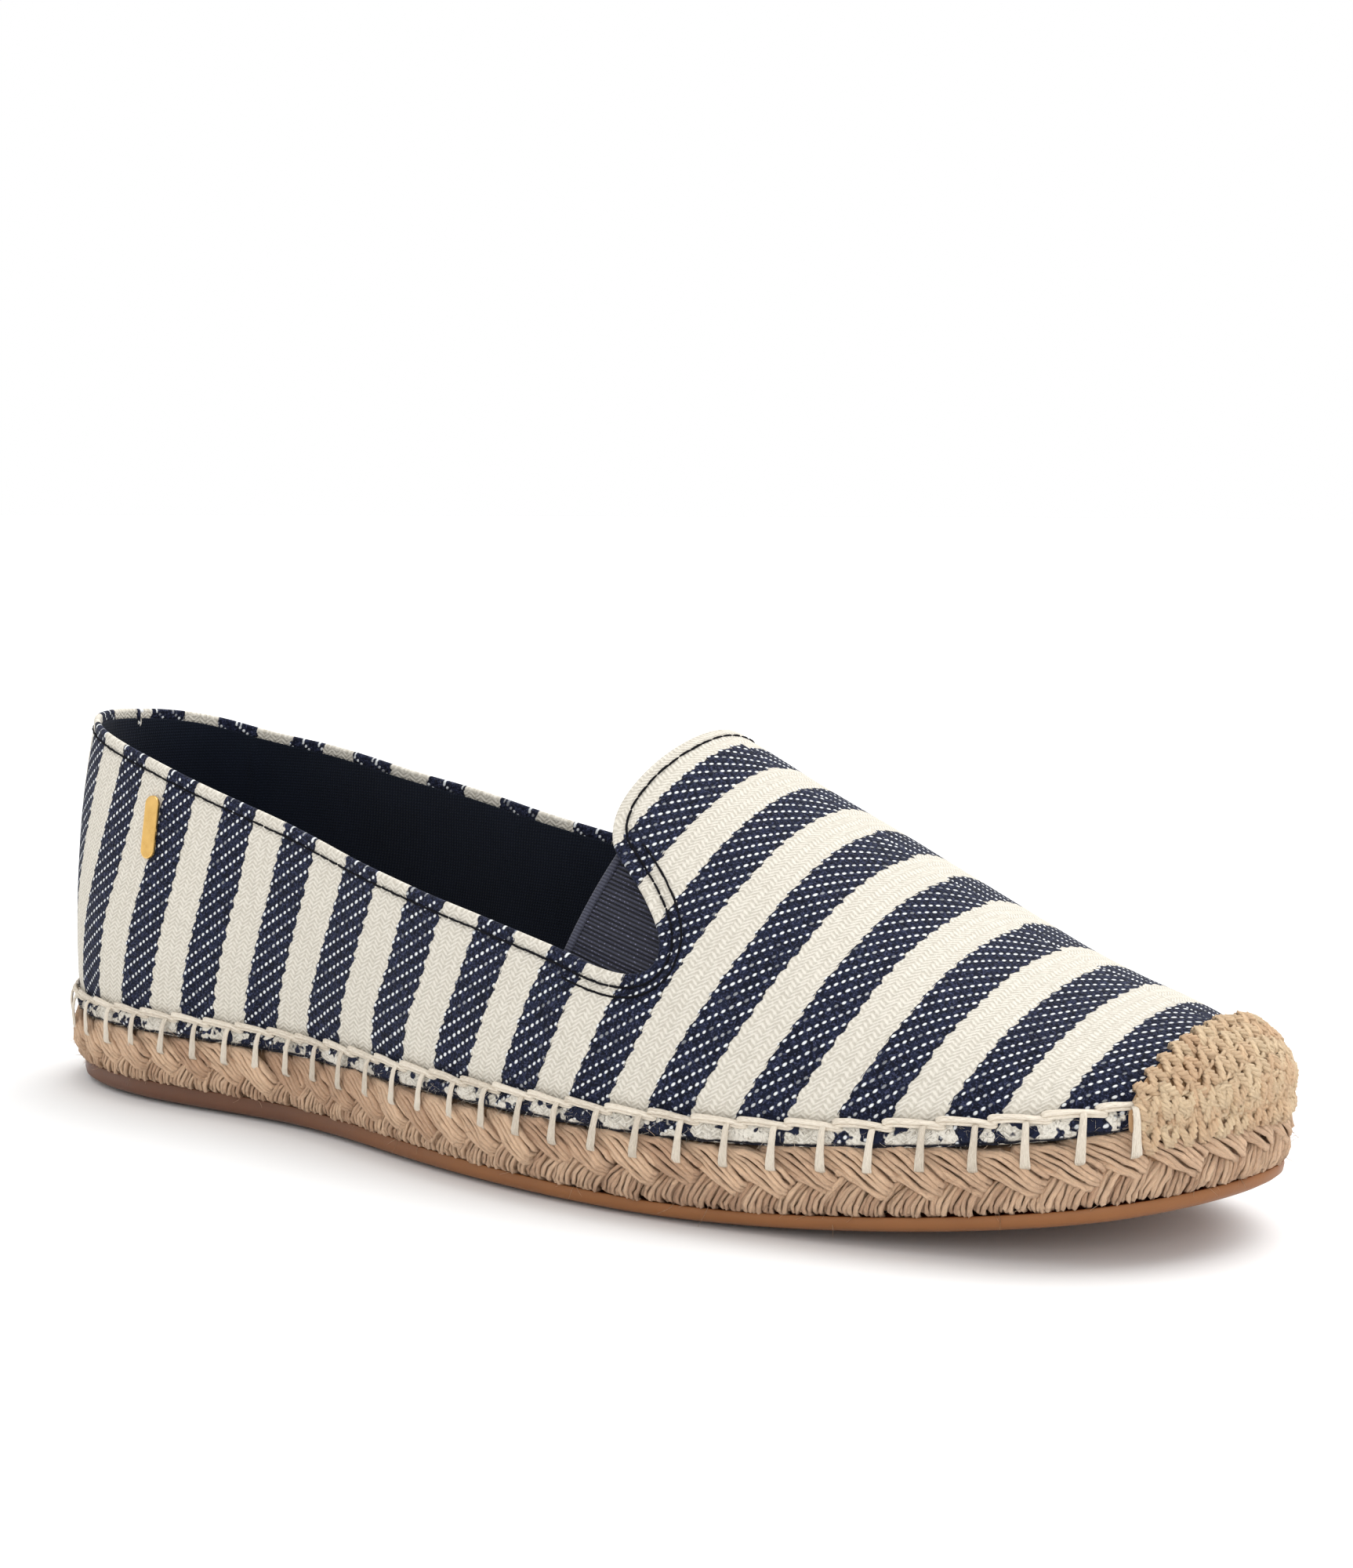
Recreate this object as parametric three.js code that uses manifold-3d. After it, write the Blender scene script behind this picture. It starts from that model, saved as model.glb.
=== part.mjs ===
// Espadrille, right shoe: a flat slip-on with a striped twill upper on a jute and rubber sole.
// Millimetres. +X points to the toe, +Y to the inner side of the foot (the big toe), +Z up.
// The group's origin is the middle of the shoe's box, on the floor.
import * as THREE from 'three';
import Module from 'manifold-3d';

const wasm = await Module();
wasm.setup();

// Driving dimensions
const LENGTH = 256; // the sole, heel to toe
const TOE_TIP_Y = 7.5; // the toe's point leans to the big toe
const GAP = 0.3; // between pieces that touch
const RUBBER = 2.6; // thickness of the outsole
const JUTE = 10.5; // thickness of the braided midsole
const INSOLE = 2.8; // thickness of the insole
const TOE_SPRING = 9.7; // lift of the sole at the toe
const SPRING_START = 160; // distance from the heel at which the sole leaves the floor
const WALL = 1.8; // canvas and lining together
const GORE = 1.3; // thickness of the elastic
const CAP = 1.7; // thickness of the crocheted toe cap
const FEATHER_INSET = 0.8; // foot of the upper, inside the sole's edge
const RUBBER_INSET = 1.4; // edge of the outsole, inside the jute's edge

const AROUND = 104; // columns round the last
const UP = 14; // rows from the sole to the ridge
const CREST = 0.97; // share of a rib that is kept before both sides are joined along the ridge

// Plan of the sole's edge: distance from the heel, width out from the middle line on each side
const PLAN = [
  { x: 8, outer: 20, inner: 20 },
  { x: 35, outer: 31, inner: 31 },
  { x: 75, outer: 30.5, inner: 30 },
  { x: 110, outer: 37, inner: 27 },
  { x: 145, outer: 42, inner: 32.5 },
  { x: 175, outer: 41, inner: 40 },
  { x: 205, outer: 35.5, inner: 41.5 },
  { x: 230, outer: 28.5, inner: 36 },
  { x: 247, outer: 18, inner: 26.5 },
];

// The last. A rib rises from the sole's edge to the ridge. At each distance along the ridge:
// the ridge's height and side shift, how far the rib rises straight up and swells out at its
// foot, and how far it runs level at the ridge. Over the collar the ridge is only a guide.
const LAST = [
  { x: -5, height: 121, side: 0, rise: 62, swell: 5, crest: 9 },
  { x: 30, height: 121, side: 0, rise: 60, swell: 4, crest: 9 },
  { x: 60, height: 114, side: 0, rise: 50, swell: 2, crest: 10 },
  { x: 95, height: 103, side: 0, rise: 40, swell: 3, crest: 14 },
  { x: 130, height: 86, side: 0, rise: 30, swell: 3, crest: 18 },
  { x: 165, height: 69, side: 1, rise: 24, swell: 3, crest: 21 },
  { x: 195, height: 54, side: 3, rise: 19, swell: 2.5, crest: 22 },
  { x: 215, height: 44, side: 5, rise: 15, swell: 2, crest: 18 },
  { x: 236, height: 37, side: 6, rise: 8, swell: 2.5, crest: 9 },
];
const RIDGE_BACK = 26; // the ribs of the heel fan out from here
const RIDGE_FRONT = 236; // the ribs of the toe fan out from here
const RIDGE_SOFTNESS = 8;

// Throat line in side view, heel to tongue: its height on the outer and the inner side,
// each where the wall stands THROAT_SIDE out from the middle line
const THROAT_SIDE = 27;
const THROAT = [
  { x: -14, outer: 75, inner: 72 },
  { x: 3, outer: 73.4, inner: 70.2 },
  { x: 10, outer: 72.4, inner: 68.6 },
  { x: 20, outer: 69.9, inner: 66 },
  { x: 36, outer: 65.8, inner: 63.7 },
  { x: 56, outer: 60, inner: 60.3 },
  { x: 75, outer: 55.2, inner: 57.8 },
  { x: 92, outer: 51.4, inner: 54.9 },
  { x: 110, outer: 48.4, inner: 52.2 },
  { x: 130, outer: 45.2, inner: 48.6 },
  { x: 147, outer: 42, inner: 45 },
  { x: 154, outer: 40.1, inner: 42.6 },
  { x: 161, outer: 39.1, inner: 41.2 },
  { x: 165.2, outer: 40.2, inner: 42 },
  { x: 165.8, outer: 43, inner: 44.6 },
  { x: 163.9, outer: 46.3, inner: 47.8 },
  { x: 159.8, outer: 50.4, inner: 51.6 },
  { x: 155.5, outer: 53.8, inner: 54.6 },
  { x: 151, outer: 57.4, inner: 58 },
  { x: 148.8, outer: 61.5, inner: 61.8 },
  { x: 148.6, outer: 66, inner: 66 },
  { x: 149.9, outer: 71, inner: 71 },
  { x: 152.5, outer: 77, inner: 77 },
  { x: 156, outer: 88, inner: 88 },
];

// Elastic gore in side view: its corners, all but the upper edge hidden behind the canvas
const GORE_CORNERS = [
  { x: 145.2, outer: 34.5, inner: 36.5 },
  { x: 172, outer: 34.5, inner: 36.5 },
  { x: 170, outer: 52, inner: 53.5 },
  { x: 152.6, outer: 63, inner: 64 },
];

// Edge of each layer of the sole: height as a share of the layer, inset from its outline
const JUTE_EDGE = [
  { up: 0, inset: 1.5 },
  { up: 0.14, inset: 0.5 },
  { up: 0.45, inset: 0.9 },
  { up: 0.72, inset: 0 },
  { up: 0.9, inset: 0.5 },
  { up: 1, inset: 1.7 },
];
const RUBBER_EDGE = [
  { up: 0, inset: RUBBER_INSET + 0.8 },
  { up: 0.3, inset: RUBBER_INSET },
  { up: 1, inset: RUBBER_INSET },
];
const INSOLE_EDGE = [
  { up: 0, inset: 0.3 },
  { up: 0.7, inset: 0 },
  { up: 1, inset: 0.8 },
];

// Toe cap: its edge on the middle line, and how far that edge bows back at the sides
const CAP_EDGE_X = 246;
const CAP_EDGE_BOW = 3;
const CAP_HALF_WIDTH = 27;

// Plain bar on the outer side of the heel
const BAR = { x: 38.5, z: 53, width: 3.4, height: 12, thickness: 0.8, bevel: 0.25 };

// Values between the rows of a table: a cubic through each row, with the slope of its neighbours
function between(table, column, x) {
  const last = table.length - 2;
  let k = 0;
  while (k < last && x > table[k + 1].x) k++;
  const slope = (i) => {
    const a = table[Math.max(i - 1, 0)];
    const b = table[i];
    const c = table[Math.min(i + 1, table.length - 1)];
    if (a === b) return (c[column] - b[column]) / (c.x - b.x);
    if (b === c) return (b[column] - a[column]) / (b.x - a.x);
    const before = (b[column] - a[column]) / (b.x - a.x);
    const after = (c[column] - b[column]) / (c.x - b.x);
    return (before * (c.x - b.x) + after * (b.x - a.x)) / (c.x - a.x);
  };
  const p = table[k];
  const q = table[k + 1];
  const span = q.x - p.x;
  const t = THREE.MathUtils.clamp((x - p.x) / span, 0, 1);
  const hermite = [2 * t ** 3 - 3 * t ** 2 + 1, t ** 3 - 2 * t ** 2 + t, 3 * t ** 2 - 2 * t ** 3, t ** 3 - t ** 2];
  return hermite[0] * p[column] + hermite[1] * span * slope(k)
    + hermite[2] * q[column] + hermite[3] * span * slope(k + 1);
}

// A smooth closed curve through points, as a function of the knot number
function closedSpline(points) {
  const n = points.length;
  const at = (i) => points[(i + n) % n];
  const step = points.map((p, i) => p.distanceTo(at(i + 1)) ** 0.7);
  const h = (i) => step[(i + n) % n];
  const tangents = points.map(() => new THREE.Vector2());
  for (let pass = 0; pass < 60; pass++) {
    for (let i = 0; i < n; i++) {
      const before = at(i).clone().sub(at(i - 1)).multiplyScalar(3 * h(i) / h(i - 1));
      const after = at(i + 1).clone().sub(at(i)).multiplyScalar(3 * h(i - 1) / h(i));
      tangents[i].copy(before).add(after)
        .addScaledVector(tangents[(i + n - 1) % n], -h(i))
        .addScaledVector(tangents[(i + 1) % n], -h(i - 1))
        .divideScalar(2 * (h(i - 1) + h(i)));
    }
  }
  return (u) => {
    const i = Math.floor(u);
    const t = u - i;
    return new THREE.Vector2()
      .addScaledVector(at(i), 2 * t ** 3 - 3 * t ** 2 + 1)
      .addScaledVector(tangents[i % n], h(i) * (t ** 3 - 2 * t ** 2 + t))
      .addScaledVector(at(i + 1), 3 * t ** 2 - 2 * t ** 3)
      .addScaledVector(tangents[(i + 1) % n], h(i) * (t ** 3 - t ** 2));
  };
}

// The sole's edge, AROUND points with their outward directions: heel, outer side, toe, inner side
function soleOutline() {
  const outer = PLAN.map((row) => new THREE.Vector2(row.x, -row.outer));
  const inner = PLAN.map((row) => new THREE.Vector2(row.x, row.inner)).reverse();
  const knots = [new THREE.Vector2(0, 0), ...outer, new THREE.Vector2(LENGTH, TOE_TIP_Y), ...inner];
  const curve = closedSpline(knots);
  const half = AROUND / 2;
  const side = (from, to) => {
    const fine = 600;
    const dense = Array.from({ length: fine + 1 }, (_, k) => curve(from + (to - from) * k / fine - (k === fine ? 1e-9 : 0)));
    const run = [0];
    for (let k = 1; k <= fine; k++) run.push(run[k - 1] + dense[k].distanceTo(dense[k - 1]));
    const points = [];
    let k = 0;
    for (let i = 0; i < half; i++) {
      const goal = run[fine] * i / half;
      while (run[k + 1] < goal) k++;
      points.push(dense[k].clone().lerp(dense[k + 1], (goal - run[k]) / (run[k + 1] - run[k])));
    }
    return points;
  };
  const points = [...side(0, PLAN.length + 1), ...side(PLAN.length + 1, knots.length)];
  return points.map((p, i) => {
    const along = points[(i + 1) % AROUND].clone().sub(points[(i + AROUND - 1) % AROUND]).normalize();
    return { p, out: new THREE.Vector2(along.y, -along.x) };
  });
}
const OUTLINE = soleOutline();

function toeSpring(x) {
  const share = Math.max(0, (x - SPRING_START) / (LENGTH - SPRING_START));
  return TOE_SPRING * share ** 2;
}

function smoothStep(x, from, to) {
  return THREE.MathUtils.smoothstep(x, from, to);
}

// x held softly between the ends of the ridge
function alongRidge(x) {
  const soft = (v) => RIDGE_SOFTNESS * Math.log1p(Math.exp(-Math.abs(v) / RIDGE_SOFTNESS)) + Math.max(v, 0);
  const raised = RIDGE_BACK + soft(x - RIDGE_BACK);
  return RIDGE_FRONT - soft(RIDGE_FRONT - raised);
}

// One point of the last: column i round the sole's edge, share t of the rib from edge to ridge
const FEATHER_Z = RUBBER + JUTE + 2 * GAP;
function lastPoint(i, t) {
  const { p, out } = OUTLINE[(i + AROUND) % AROUND];
  const inset = FEATHER_INSET + (CAP + GAP) * smoothStep(p.x, 232, 248);
  const foot = new THREE.Vector3(p.x - out.x * inset, p.y - out.y * inset, 0);
  foot.z = FEATHER_Z + toeSpring(foot.x);
  const x = alongRidge(foot.x);
  const ridge = new THREE.Vector3(x, between(LAST, 'side', x), between(LAST, 'height', x));
  const climb = between(LAST, 'height', x + 0.5) - between(LAST, 'height', x - 0.5);
  const outward = new THREE.Vector3(foot.x - ridge.x, foot.y - ridge.y, 0).normalize();
  const low = foot.clone();
  low.z += between(LAST, 'rise', x);
  low.x += out.x * between(LAST, 'swell', x);
  low.y += out.y * between(LAST, 'swell', x);
  const high = ridge.clone().addScaledVector(outward, between(LAST, 'crest', x));
  high.z += climb * outward.x * between(LAST, 'crest', x);
  return new THREE.CubicBezierCurve3(foot, low, high, ridge).getPoint(t);
}

// The last's surface moved out (or in, below zero) by offset: rows of AROUND points. The lowest
// row moves level, and stays on the plane of the sole.
function lastRows(offset) {
  const rows = [];
  const around = new THREE.Vector3();
  const upward = new THREE.Vector3();
  for (let j = 0; j <= UP; j++) {
    const t = CREST * j / UP;
    const row = [];
    for (let i = 0; i < AROUND; i++) {
      const point = lastPoint(i, t);
      around.copy(lastPoint(i + 1, t)).sub(lastPoint(i - 1, t));
      upward.copy(lastPoint(i, t + 0.005)).sub(lastPoint(i, t - 0.005));
      const normal = around.clone().cross(upward);
      if (j === 0) normal.setZ(0);
      point.addScaledVector(normal.normalize(), offset);
      if (j === 0) point.z = FEATHER_Z + toeSpring(point.x);
      row.push(point);
    }
    rows.push(row);
  }
  return rows;
}

// A solid from rows of points that run counter-clockwise, lowest first, closed across each end
function stack(rows) {
  const n = rows[0].length;
  const triangles = [];
  for (let j = 0; j + 1 < rows.length; j++) {
    for (let i = 0; i < n; i++) {
      const a = j * n + i;
      const b = j * n + (i + 1) % n;
      triangles.push(a, b, b + n, a, b + n, a + n);
    }
  }
  const close = (base, upward) => {
    const add = (a, b, c) => triangles.push(...(upward ? [a, b, c] : [a, c, b]));
    for (let i = 0; i < n / 2; i++) {
      const a = base + i;
      const b = base + i + 1;
      const c = base + (n - i) % n;
      const d = base + n - i - 1;
      if (i > 0) add(a, b, c);
      if (b !== d) add(b, d, c);
    }
  };
  close(0, false);
  close((rows.length - 1) * n, true);
  const vertices = rows.flat().flatMap((p) => [p.x, p.y, p.z]);
  return solid(vertices, triangles);
}

function solid(vertices, triangles) {
  return new wasm.Manifold(new wasm.Mesh({
    numProp: 3,
    vertProperties: new Float32Array(vertices),
    triVerts: new Uint32Array(triangles),
  }));
}

// A solid that runs across the shoe from one side outline to another, given as rows of
// x with a height on each side, and kept between the two given widths
function acrossShoe(rows, fromY, toY) {
  const n = rows.length;
  const outline = (y) => rows.map((row) => {
    const middle = (row.outer + row.inner) / 2;
    const lean = (row.inner - row.outer) / 2 / THROAT_SIDE;
    return new THREE.Vector3(row.x, y, middle + lean * y);
  });
  const side = rows.map((row) => new THREE.Vector2(row.x, row.outer));
  const clockwise = THREE.ShapeUtils.isClockWise(side);
  const triangles = [];
  const add = (a, b, c) => triangles.push(...(clockwise ? [a, c, b] : [a, b, c]));
  for (const [a, b, c] of THREE.ShapeUtils.triangulateShape(side, [])) {
    add(a, b, c);
    add(a + n, c + n, b + n);
  }
  for (let i = 0; i < n; i++) {
    const next = (i + 1) % n;
    add(i, i + n, next + n);
    add(i, next + n, next);
  }
  const vertices = [...outline(fromY), ...outline(toY)].flatMap((p) => [p.x, p.y, p.z]);
  return solid(vertices, triangles);
}

// The space above the throat line, which the foot goes in by
function throatSpace() {
  const smooth = (column) => new THREE.CatmullRomCurve3(
    THROAT.map((row) => new THREE.Vector3(row.x, row[column], 0)), false, 'catmullrom', 0.5);
  const steps = 3 * (THROAT.length - 1);
  const outer = smooth('outer').getPoints(steps);
  const inner = smooth('inner').getPoints(steps);
  const rows = outer.map((p, i) => ({ x: p.x, outer: p.y, inner: inner[i].y }));
  const top = 140;
  rows.push({ x: THROAT.at(-1).x, outer: top, inner: top }, { x: THROAT[0].x, outer: top, inner: top });
  return acrossShoe(rows, -60, 60);
}

// One hollow piece: the last's outside less its inside, which runs on below to leave it open
function makeUpper() {
  const inside = lastRows(-WALL);
  const below = inside[0].map((p) => p.clone().setZ(p.z - 4));
  return stack(lastRows(0)).subtract(stack([below, ...inside])).subtract(throatSpace());
}

// Elastic panels lie against the inside of the wall, across the notches of the throat
function makeGore(fromY, toY) {
  const sheet = stack(lastRows(-WALL - GAP)).subtract(stack(lastRows(-WALL - GAP - GORE)));
  return sheet.intersect(acrossShoe(GORE_CORNERS, fromY, toY));
}

// Crocheted cap: cut between two larger forms of the last, in front of a slightly bowed edge
function makeToeCap() {
  const inside = lastRows(GAP);
  const below = inside[0].map((p) => p.clone().setZ(p.z - 4));
  const shell = stack(lastRows(GAP + CAP)).subtract(stack([below, ...inside]));
  const edge = Array.from({ length: 13 }, (_, k) => {
    const y = THREE.MathUtils.lerp(-60, 60, k / 12);
    const bow = CAP_EDGE_BOW * Math.min(1.6, ((y - TOE_TIP_Y) / CAP_HALF_WIDTH) ** 2);
    return new THREE.Vector2(CAP_EDGE_X - bow, y);
  });
  const front = LENGTH + 10;
  const shape = new THREE.Shape([...edge, new THREE.Vector2(front, 60), new THREE.Vector2(front, -60)].reverse());
  return shell.intersect(fromGeometry(new THREE.ExtrudeGeometry(shape, { depth: 60, bevelEnabled: false })));
}

// A closed three.js geometry as a solid, its corners shared
function fromGeometry(geometry) {
  const position = geometry.getAttribute('position');
  const seen = new Map();
  const vertices = [];
  const triangles = [];
  const source = geometry.index ?? { count: position.count, getX: (k) => k };
  for (let k = 0; k < source.count; k++) {
    const p = new THREE.Vector3().fromBufferAttribute(position, source.getX(k));
    const key = p.toArray().map((v) => Math.round(v * 1e4)).join();
    if (!seen.has(key)) {
      seen.set(key, vertices.length / 3);
      vertices.push(p.x, p.y, p.z);
    }
    triangles.push(seen.get(key));
  }
  return solid(vertices, triangles);
}

// A flat layer of the sole from its underside, following the outline and the toe spring
function layer(edge, underside, thickness, inset) {
  return stack(edge.map((row) => OUTLINE.map(({ p, out }) => {
    const q = p.clone().addScaledVector(out, -inset(p.x) - row.inset);
    return new THREE.Vector3(q.x, q.y, underside + toeSpring(q.x) + row.up * thickness);
  })));
}

const flush = () => 0;
const insideWall = (x) => FEATHER_INSET + WALL + GAP + 0.3 + (CAP + GAP) * smoothStep(x, 232, 248);

// Rounded bar standing on the outer wall of the heel
function makeHeelBar() {
  const { width, height, thickness, bevel } = BAR;
  const radius = width / 2 - bevel;
  const reach = height / 2 - width / 2;
  const shape = new THREE.Shape();
  shape.absarc(0, reach, radius, 0, Math.PI);
  shape.absarc(0, -reach, radius, Math.PI, 2 * Math.PI);
  return new THREE.ExtrudeGeometry(shape, {
    depth: thickness - 2 * bevel,
    bevelThickness: bevel,
    bevelSize: bevel,
    bevelSegments: 2,
    curveSegments: 10,
  });
}

// The outer wall's point at a given distance from the heel and height, with its outward direction
function outerWall(x, z) {
  let best = null;
  for (let i = 0; i < AROUND / 2; i++) {
    for (let t = 0; t < 0.9; t += 0.01) {
      const p = lastPoint(i, t);
      const away = Math.hypot(p.x - x, p.z - z);
      if (!best || away < best.away) best = { away, i, t, p };
    }
  }
  const { i, t, p } = best;
  const around = lastPoint(i + 1, t).sub(lastPoint(i - 1, t));
  const upward = lastPoint(i, t + 0.02).sub(lastPoint(i, t - 0.02)).normalize();
  return { p, upward, normal: around.cross(upward).normalize() };
}

function toGeometry(body) {
  const mesh = body.getMesh();
  const geometry = new THREE.BufferGeometry();
  geometry.setAttribute('position', new THREE.BufferAttribute(mesh.vertProperties.slice(), mesh.numProp));
  geometry.setIndex(new THREE.BufferAttribute(mesh.triVerts.slice(), 1));
  return geometry;
}

const FINISH = {
  rubber: { color: '#a9743f', roughness: 0.6, metalness: 0 },
  jute: { color: '#b8946a', roughness: 0.95, metalness: 0 },
  canvas: { color: '#d9d3c3', roughness: 0.9, metalness: 0 },
  elastic: { color: '#2b2d3f', roughness: 0.8, metalness: 0 },
  lining: { color: '#141a28', roughness: 0.95, metalness: 0 },
  brass: { color: '#caa052', roughness: 0.25, metalness: 1 },
};

const shoe = new THREE.Group();

function addPart(name, geometry, finish) {
  geometry.computeVertexNormals();
  const mesh = new THREE.Mesh(geometry, new THREE.MeshStandardMaterial(FINISH[finish]));
  mesh.name = name;
  shoe.add(mesh);
  return mesh;
}

addPart('outsole', toGeometry(layer(RUBBER_EDGE, 0, RUBBER, flush)), 'rubber');
addPart('jute_midsole', toGeometry(layer(JUTE_EDGE, RUBBER + GAP, JUTE, flush)), 'jute');
addPart('insole', toGeometry(layer(INSOLE_EDGE, FEATHER_Z, INSOLE, insideWall)), 'lining');
addPart('upper', toGeometry(makeUpper()), 'canvas');
addPart('gore_outer', toGeometry(makeGore(-60, -12)), 'elastic');
addPart('gore_inner', toGeometry(makeGore(12, 60)), 'elastic');
addPart('toe_cap', toGeometry(makeToeCap()), 'jute');

const bar = addPart('heel_bar', makeHeelBar(), 'brass');
const wall = outerWall(BAR.x, BAR.z);
const sideways = wall.upward.clone().cross(wall.normal).normalize();
bar.matrix.makeBasis(sideways, wall.normal.clone().cross(sideways), wall.normal);
bar.matrix.setPosition(wall.p.addScaledVector(wall.normal, GAP + BAR.bevel + 0.1));
bar.matrix.decompose(bar.position, bar.quaternion, bar.scale);

// The origin moves to the middle of the box, on the floor
const box = new THREE.Box3().setFromObject(shoe);
const middle = box.getCenter(new THREE.Vector3());
shoe.position.set(-middle.x, -middle.y, -box.min.z);

export default shoe;
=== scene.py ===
"""Espadrille, right shoe: the finish of a striped twill slip-on with a crocheted toe cap.

The form is worked out in shoe millimetres, X from the heel, outer side below zero, and turned
into the frame's metres by in_frame(). Tables of the form repeat the CAD part's.
"""

import math

import bmesh
import bpy
import numpy as np
from mathutils import Matrix, Vector


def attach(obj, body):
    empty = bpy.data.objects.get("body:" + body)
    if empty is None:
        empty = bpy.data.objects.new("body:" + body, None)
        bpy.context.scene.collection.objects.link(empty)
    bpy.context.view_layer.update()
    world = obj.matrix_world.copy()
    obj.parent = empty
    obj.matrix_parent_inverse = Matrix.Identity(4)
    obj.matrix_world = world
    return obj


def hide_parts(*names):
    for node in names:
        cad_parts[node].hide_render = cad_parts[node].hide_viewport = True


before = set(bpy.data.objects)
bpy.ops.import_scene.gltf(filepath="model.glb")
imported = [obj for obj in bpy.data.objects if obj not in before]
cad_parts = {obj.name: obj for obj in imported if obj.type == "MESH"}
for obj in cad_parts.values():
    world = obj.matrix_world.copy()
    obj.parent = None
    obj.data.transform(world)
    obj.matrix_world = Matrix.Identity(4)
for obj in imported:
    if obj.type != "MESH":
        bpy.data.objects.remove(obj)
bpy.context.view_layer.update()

# ---------------------------------------------------------------- sizes of the form, mm
LENGTH = 256.0  # of the sole
TOE_TIP_Y = 7.5  # the sole's tip lies this far to the inner side
GAP = 0.3  # between the solids of the sole and the upper
RUBBER, JUTE, INSOLE = 2.6, 10.5, 2.8  # thicknesses
TOE_SPRING = 9.7  # rise of the sole's tip
SPRING_START = 160.0  # the rise begins here
CAP = 1.7  # thickness of the toe cap
FEATHER_INSET = 0.8  # the foot of the upper, in from the sole's edge
RIDGE_BACK, RIDGE_FRONT = 26.0, 236.0  # ends of the last's ridge
RIDGE_SOFTNESS = 8.0  # how gently the ribs gather at its ends
THROAT_SIDE = 27.0  # half width of the last for which the throat's heights are given
JUTE_Z = RUBBER + GAP  # underside of the braid
JUTE_TOP = JUTE_Z + JUTE
FEATHER_Z = JUTE_TOP + GAP  # foot of the upper

# Plan of the sole's edge: distance from the heel, width on the outer and the inner side
PLAN = [
    (8, 20, 20), (35, 31, 31), (75, 30.5, 30), (110, 37, 27), (145, 42, 32.5),
    (175, 41, 40), (205, 35.5, 41.5), (230, 28.5, 36), (247, 18, 26.5),
]

# The last along its ridge: x, height, side shift, rise and swell at the foot, level run at the ridge
LAST = [
    (-5, 121, 0, 62, 5, 9), (30, 121, 0, 60, 4, 9), (60, 114, 0, 50, 2, 10), (95, 103, 0, 40, 3, 14),
    (130, 86, 0, 30, 3, 18), (165, 69, 1, 24, 3, 21), (195, 54, 3, 19, 2.5, 22), (215, 44, 5, 15, 2, 18),
    (236, 37, 6, 8, 2.5, 9),
]
HEIGHT, SIDE, RISE, SWELL, LEVEL = range(1, 6)

# The throat line in side view, heel to tongue: x, height on the outer and the inner side
THROAT = [
    (-14, 75, 72), (3, 73.4, 70.2), (10, 72.4, 68.6), (20, 69.9, 66), (36, 65.8, 63.7), (56, 60, 60.3),
    (75, 55.2, 57.8), (92, 51.4, 54.9), (110, 48.4, 52.2), (130, 45.2, 48.6), (147, 42, 45),
    (154, 40.1, 42.6), (161, 39.1, 41.2), (165.2, 40.2, 42), (165.8, 43, 44.6), (163.9, 46.3, 47.8),
    (159.8, 50.4, 51.6), (155.5, 53.8, 54.6), (151, 57.4, 58), (148.8, 61.5, 61.8), (148.6, 66, 66),
    (149.9, 71, 71), (152.5, 77, 77), (156, 88, 88),
]
# Corners of each gore in side view, the same way
GORE_CORNERS = [(145.2, 34.5, 36.5), (172, 34.5, 36.5), (170, 52, 53.5), (152.6, 63, 64)]

# Border of the toe cap: its place on the middle line, and how far it bows forward
CAP_EDGE_X, CAP_EDGE_BOW, CAP_HALF_WIDTH = 246.0, 3.0, 27.0

# ---------------------------------------------------------------- sizes of the finish, mm
FOLD = 0.62  # radius of the cloth's folded edge at the throat
CLOTH = 2 * FOLD
LINING = 0.5  # thickness
LINING_DROP = 1.5  # the lining starts this far below the fold
LINING_SEAM = 15.5  # a seam of the lining, from the heel
STRIPE_PITCH, STRIPE_WIDTH = 16.9, 8.7  # navy stripes
STITCH_PITCH = 8.2  # of the thread that joins the upper to the sole
FIRST_LEG = 3.0  # its first leg, from the cap's inner corner
CHAIN_RISE = 3.6  # height of its chain above the braid
TOPSTITCH_IN, TOPSTITCH_SECOND = 1.7, 3.2  # rows of topstitching, below the folded edge
TREAD_PITCH, TREAD_RIB = 6.0, 3.2  # cross ribs under the rubber
TREAD_EDGE = 8.5  # the cross ribs stop this far from the sole's edge
HEEL_LIP = 1.3  # that the rubber's wall gains at the heel
STRAND_PITCH = STITCH_PITCH / 4  # of the lower strands of the braid
LOWEST_FIBRE = 0.3  # no loose fibre hangs lower over the floor


# ---------------------------------------------------------------- curves and the last
def between(table, column, x):
    """A column's values between the rows of a table: a cubic with each row's own slope."""
    rows = np.array(table, float)
    key, value = rows[:, 0], rows[:, column]
    step = np.diff(key)
    secant = np.diff(value) / step
    slope = np.empty_like(value)
    slope[0], slope[-1] = secant[0], secant[-1]
    slope[1:-1] = (secant[:-1] * step[1:] + secant[1:] * step[:-1]) / (key[2:] - key[:-2])
    x = np.clip(x, key[0], key[-1])
    i = np.clip(np.searchsorted(key, x) - 1, 0, len(key) - 2)
    t = (x - key[i]) / step[i]
    return (
        (2 * t**3 - 3 * t**2 + 1) * value[i] + (t**3 - 2 * t**2 + t) * step[i] * slope[i]
        + (3 * t**2 - 2 * t**3) * value[i + 1] + (t**3 - t**2) * step[i] * slope[i + 1]
    )


def smooth(x, start, end):
    t = np.clip((x - start) / (end - start), 0, 1)
    return t * t * (3 - 2 * t)


def unit(v):
    return v / np.maximum(np.linalg.norm(v, axis=-1, keepdims=True), 1e-9)


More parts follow.
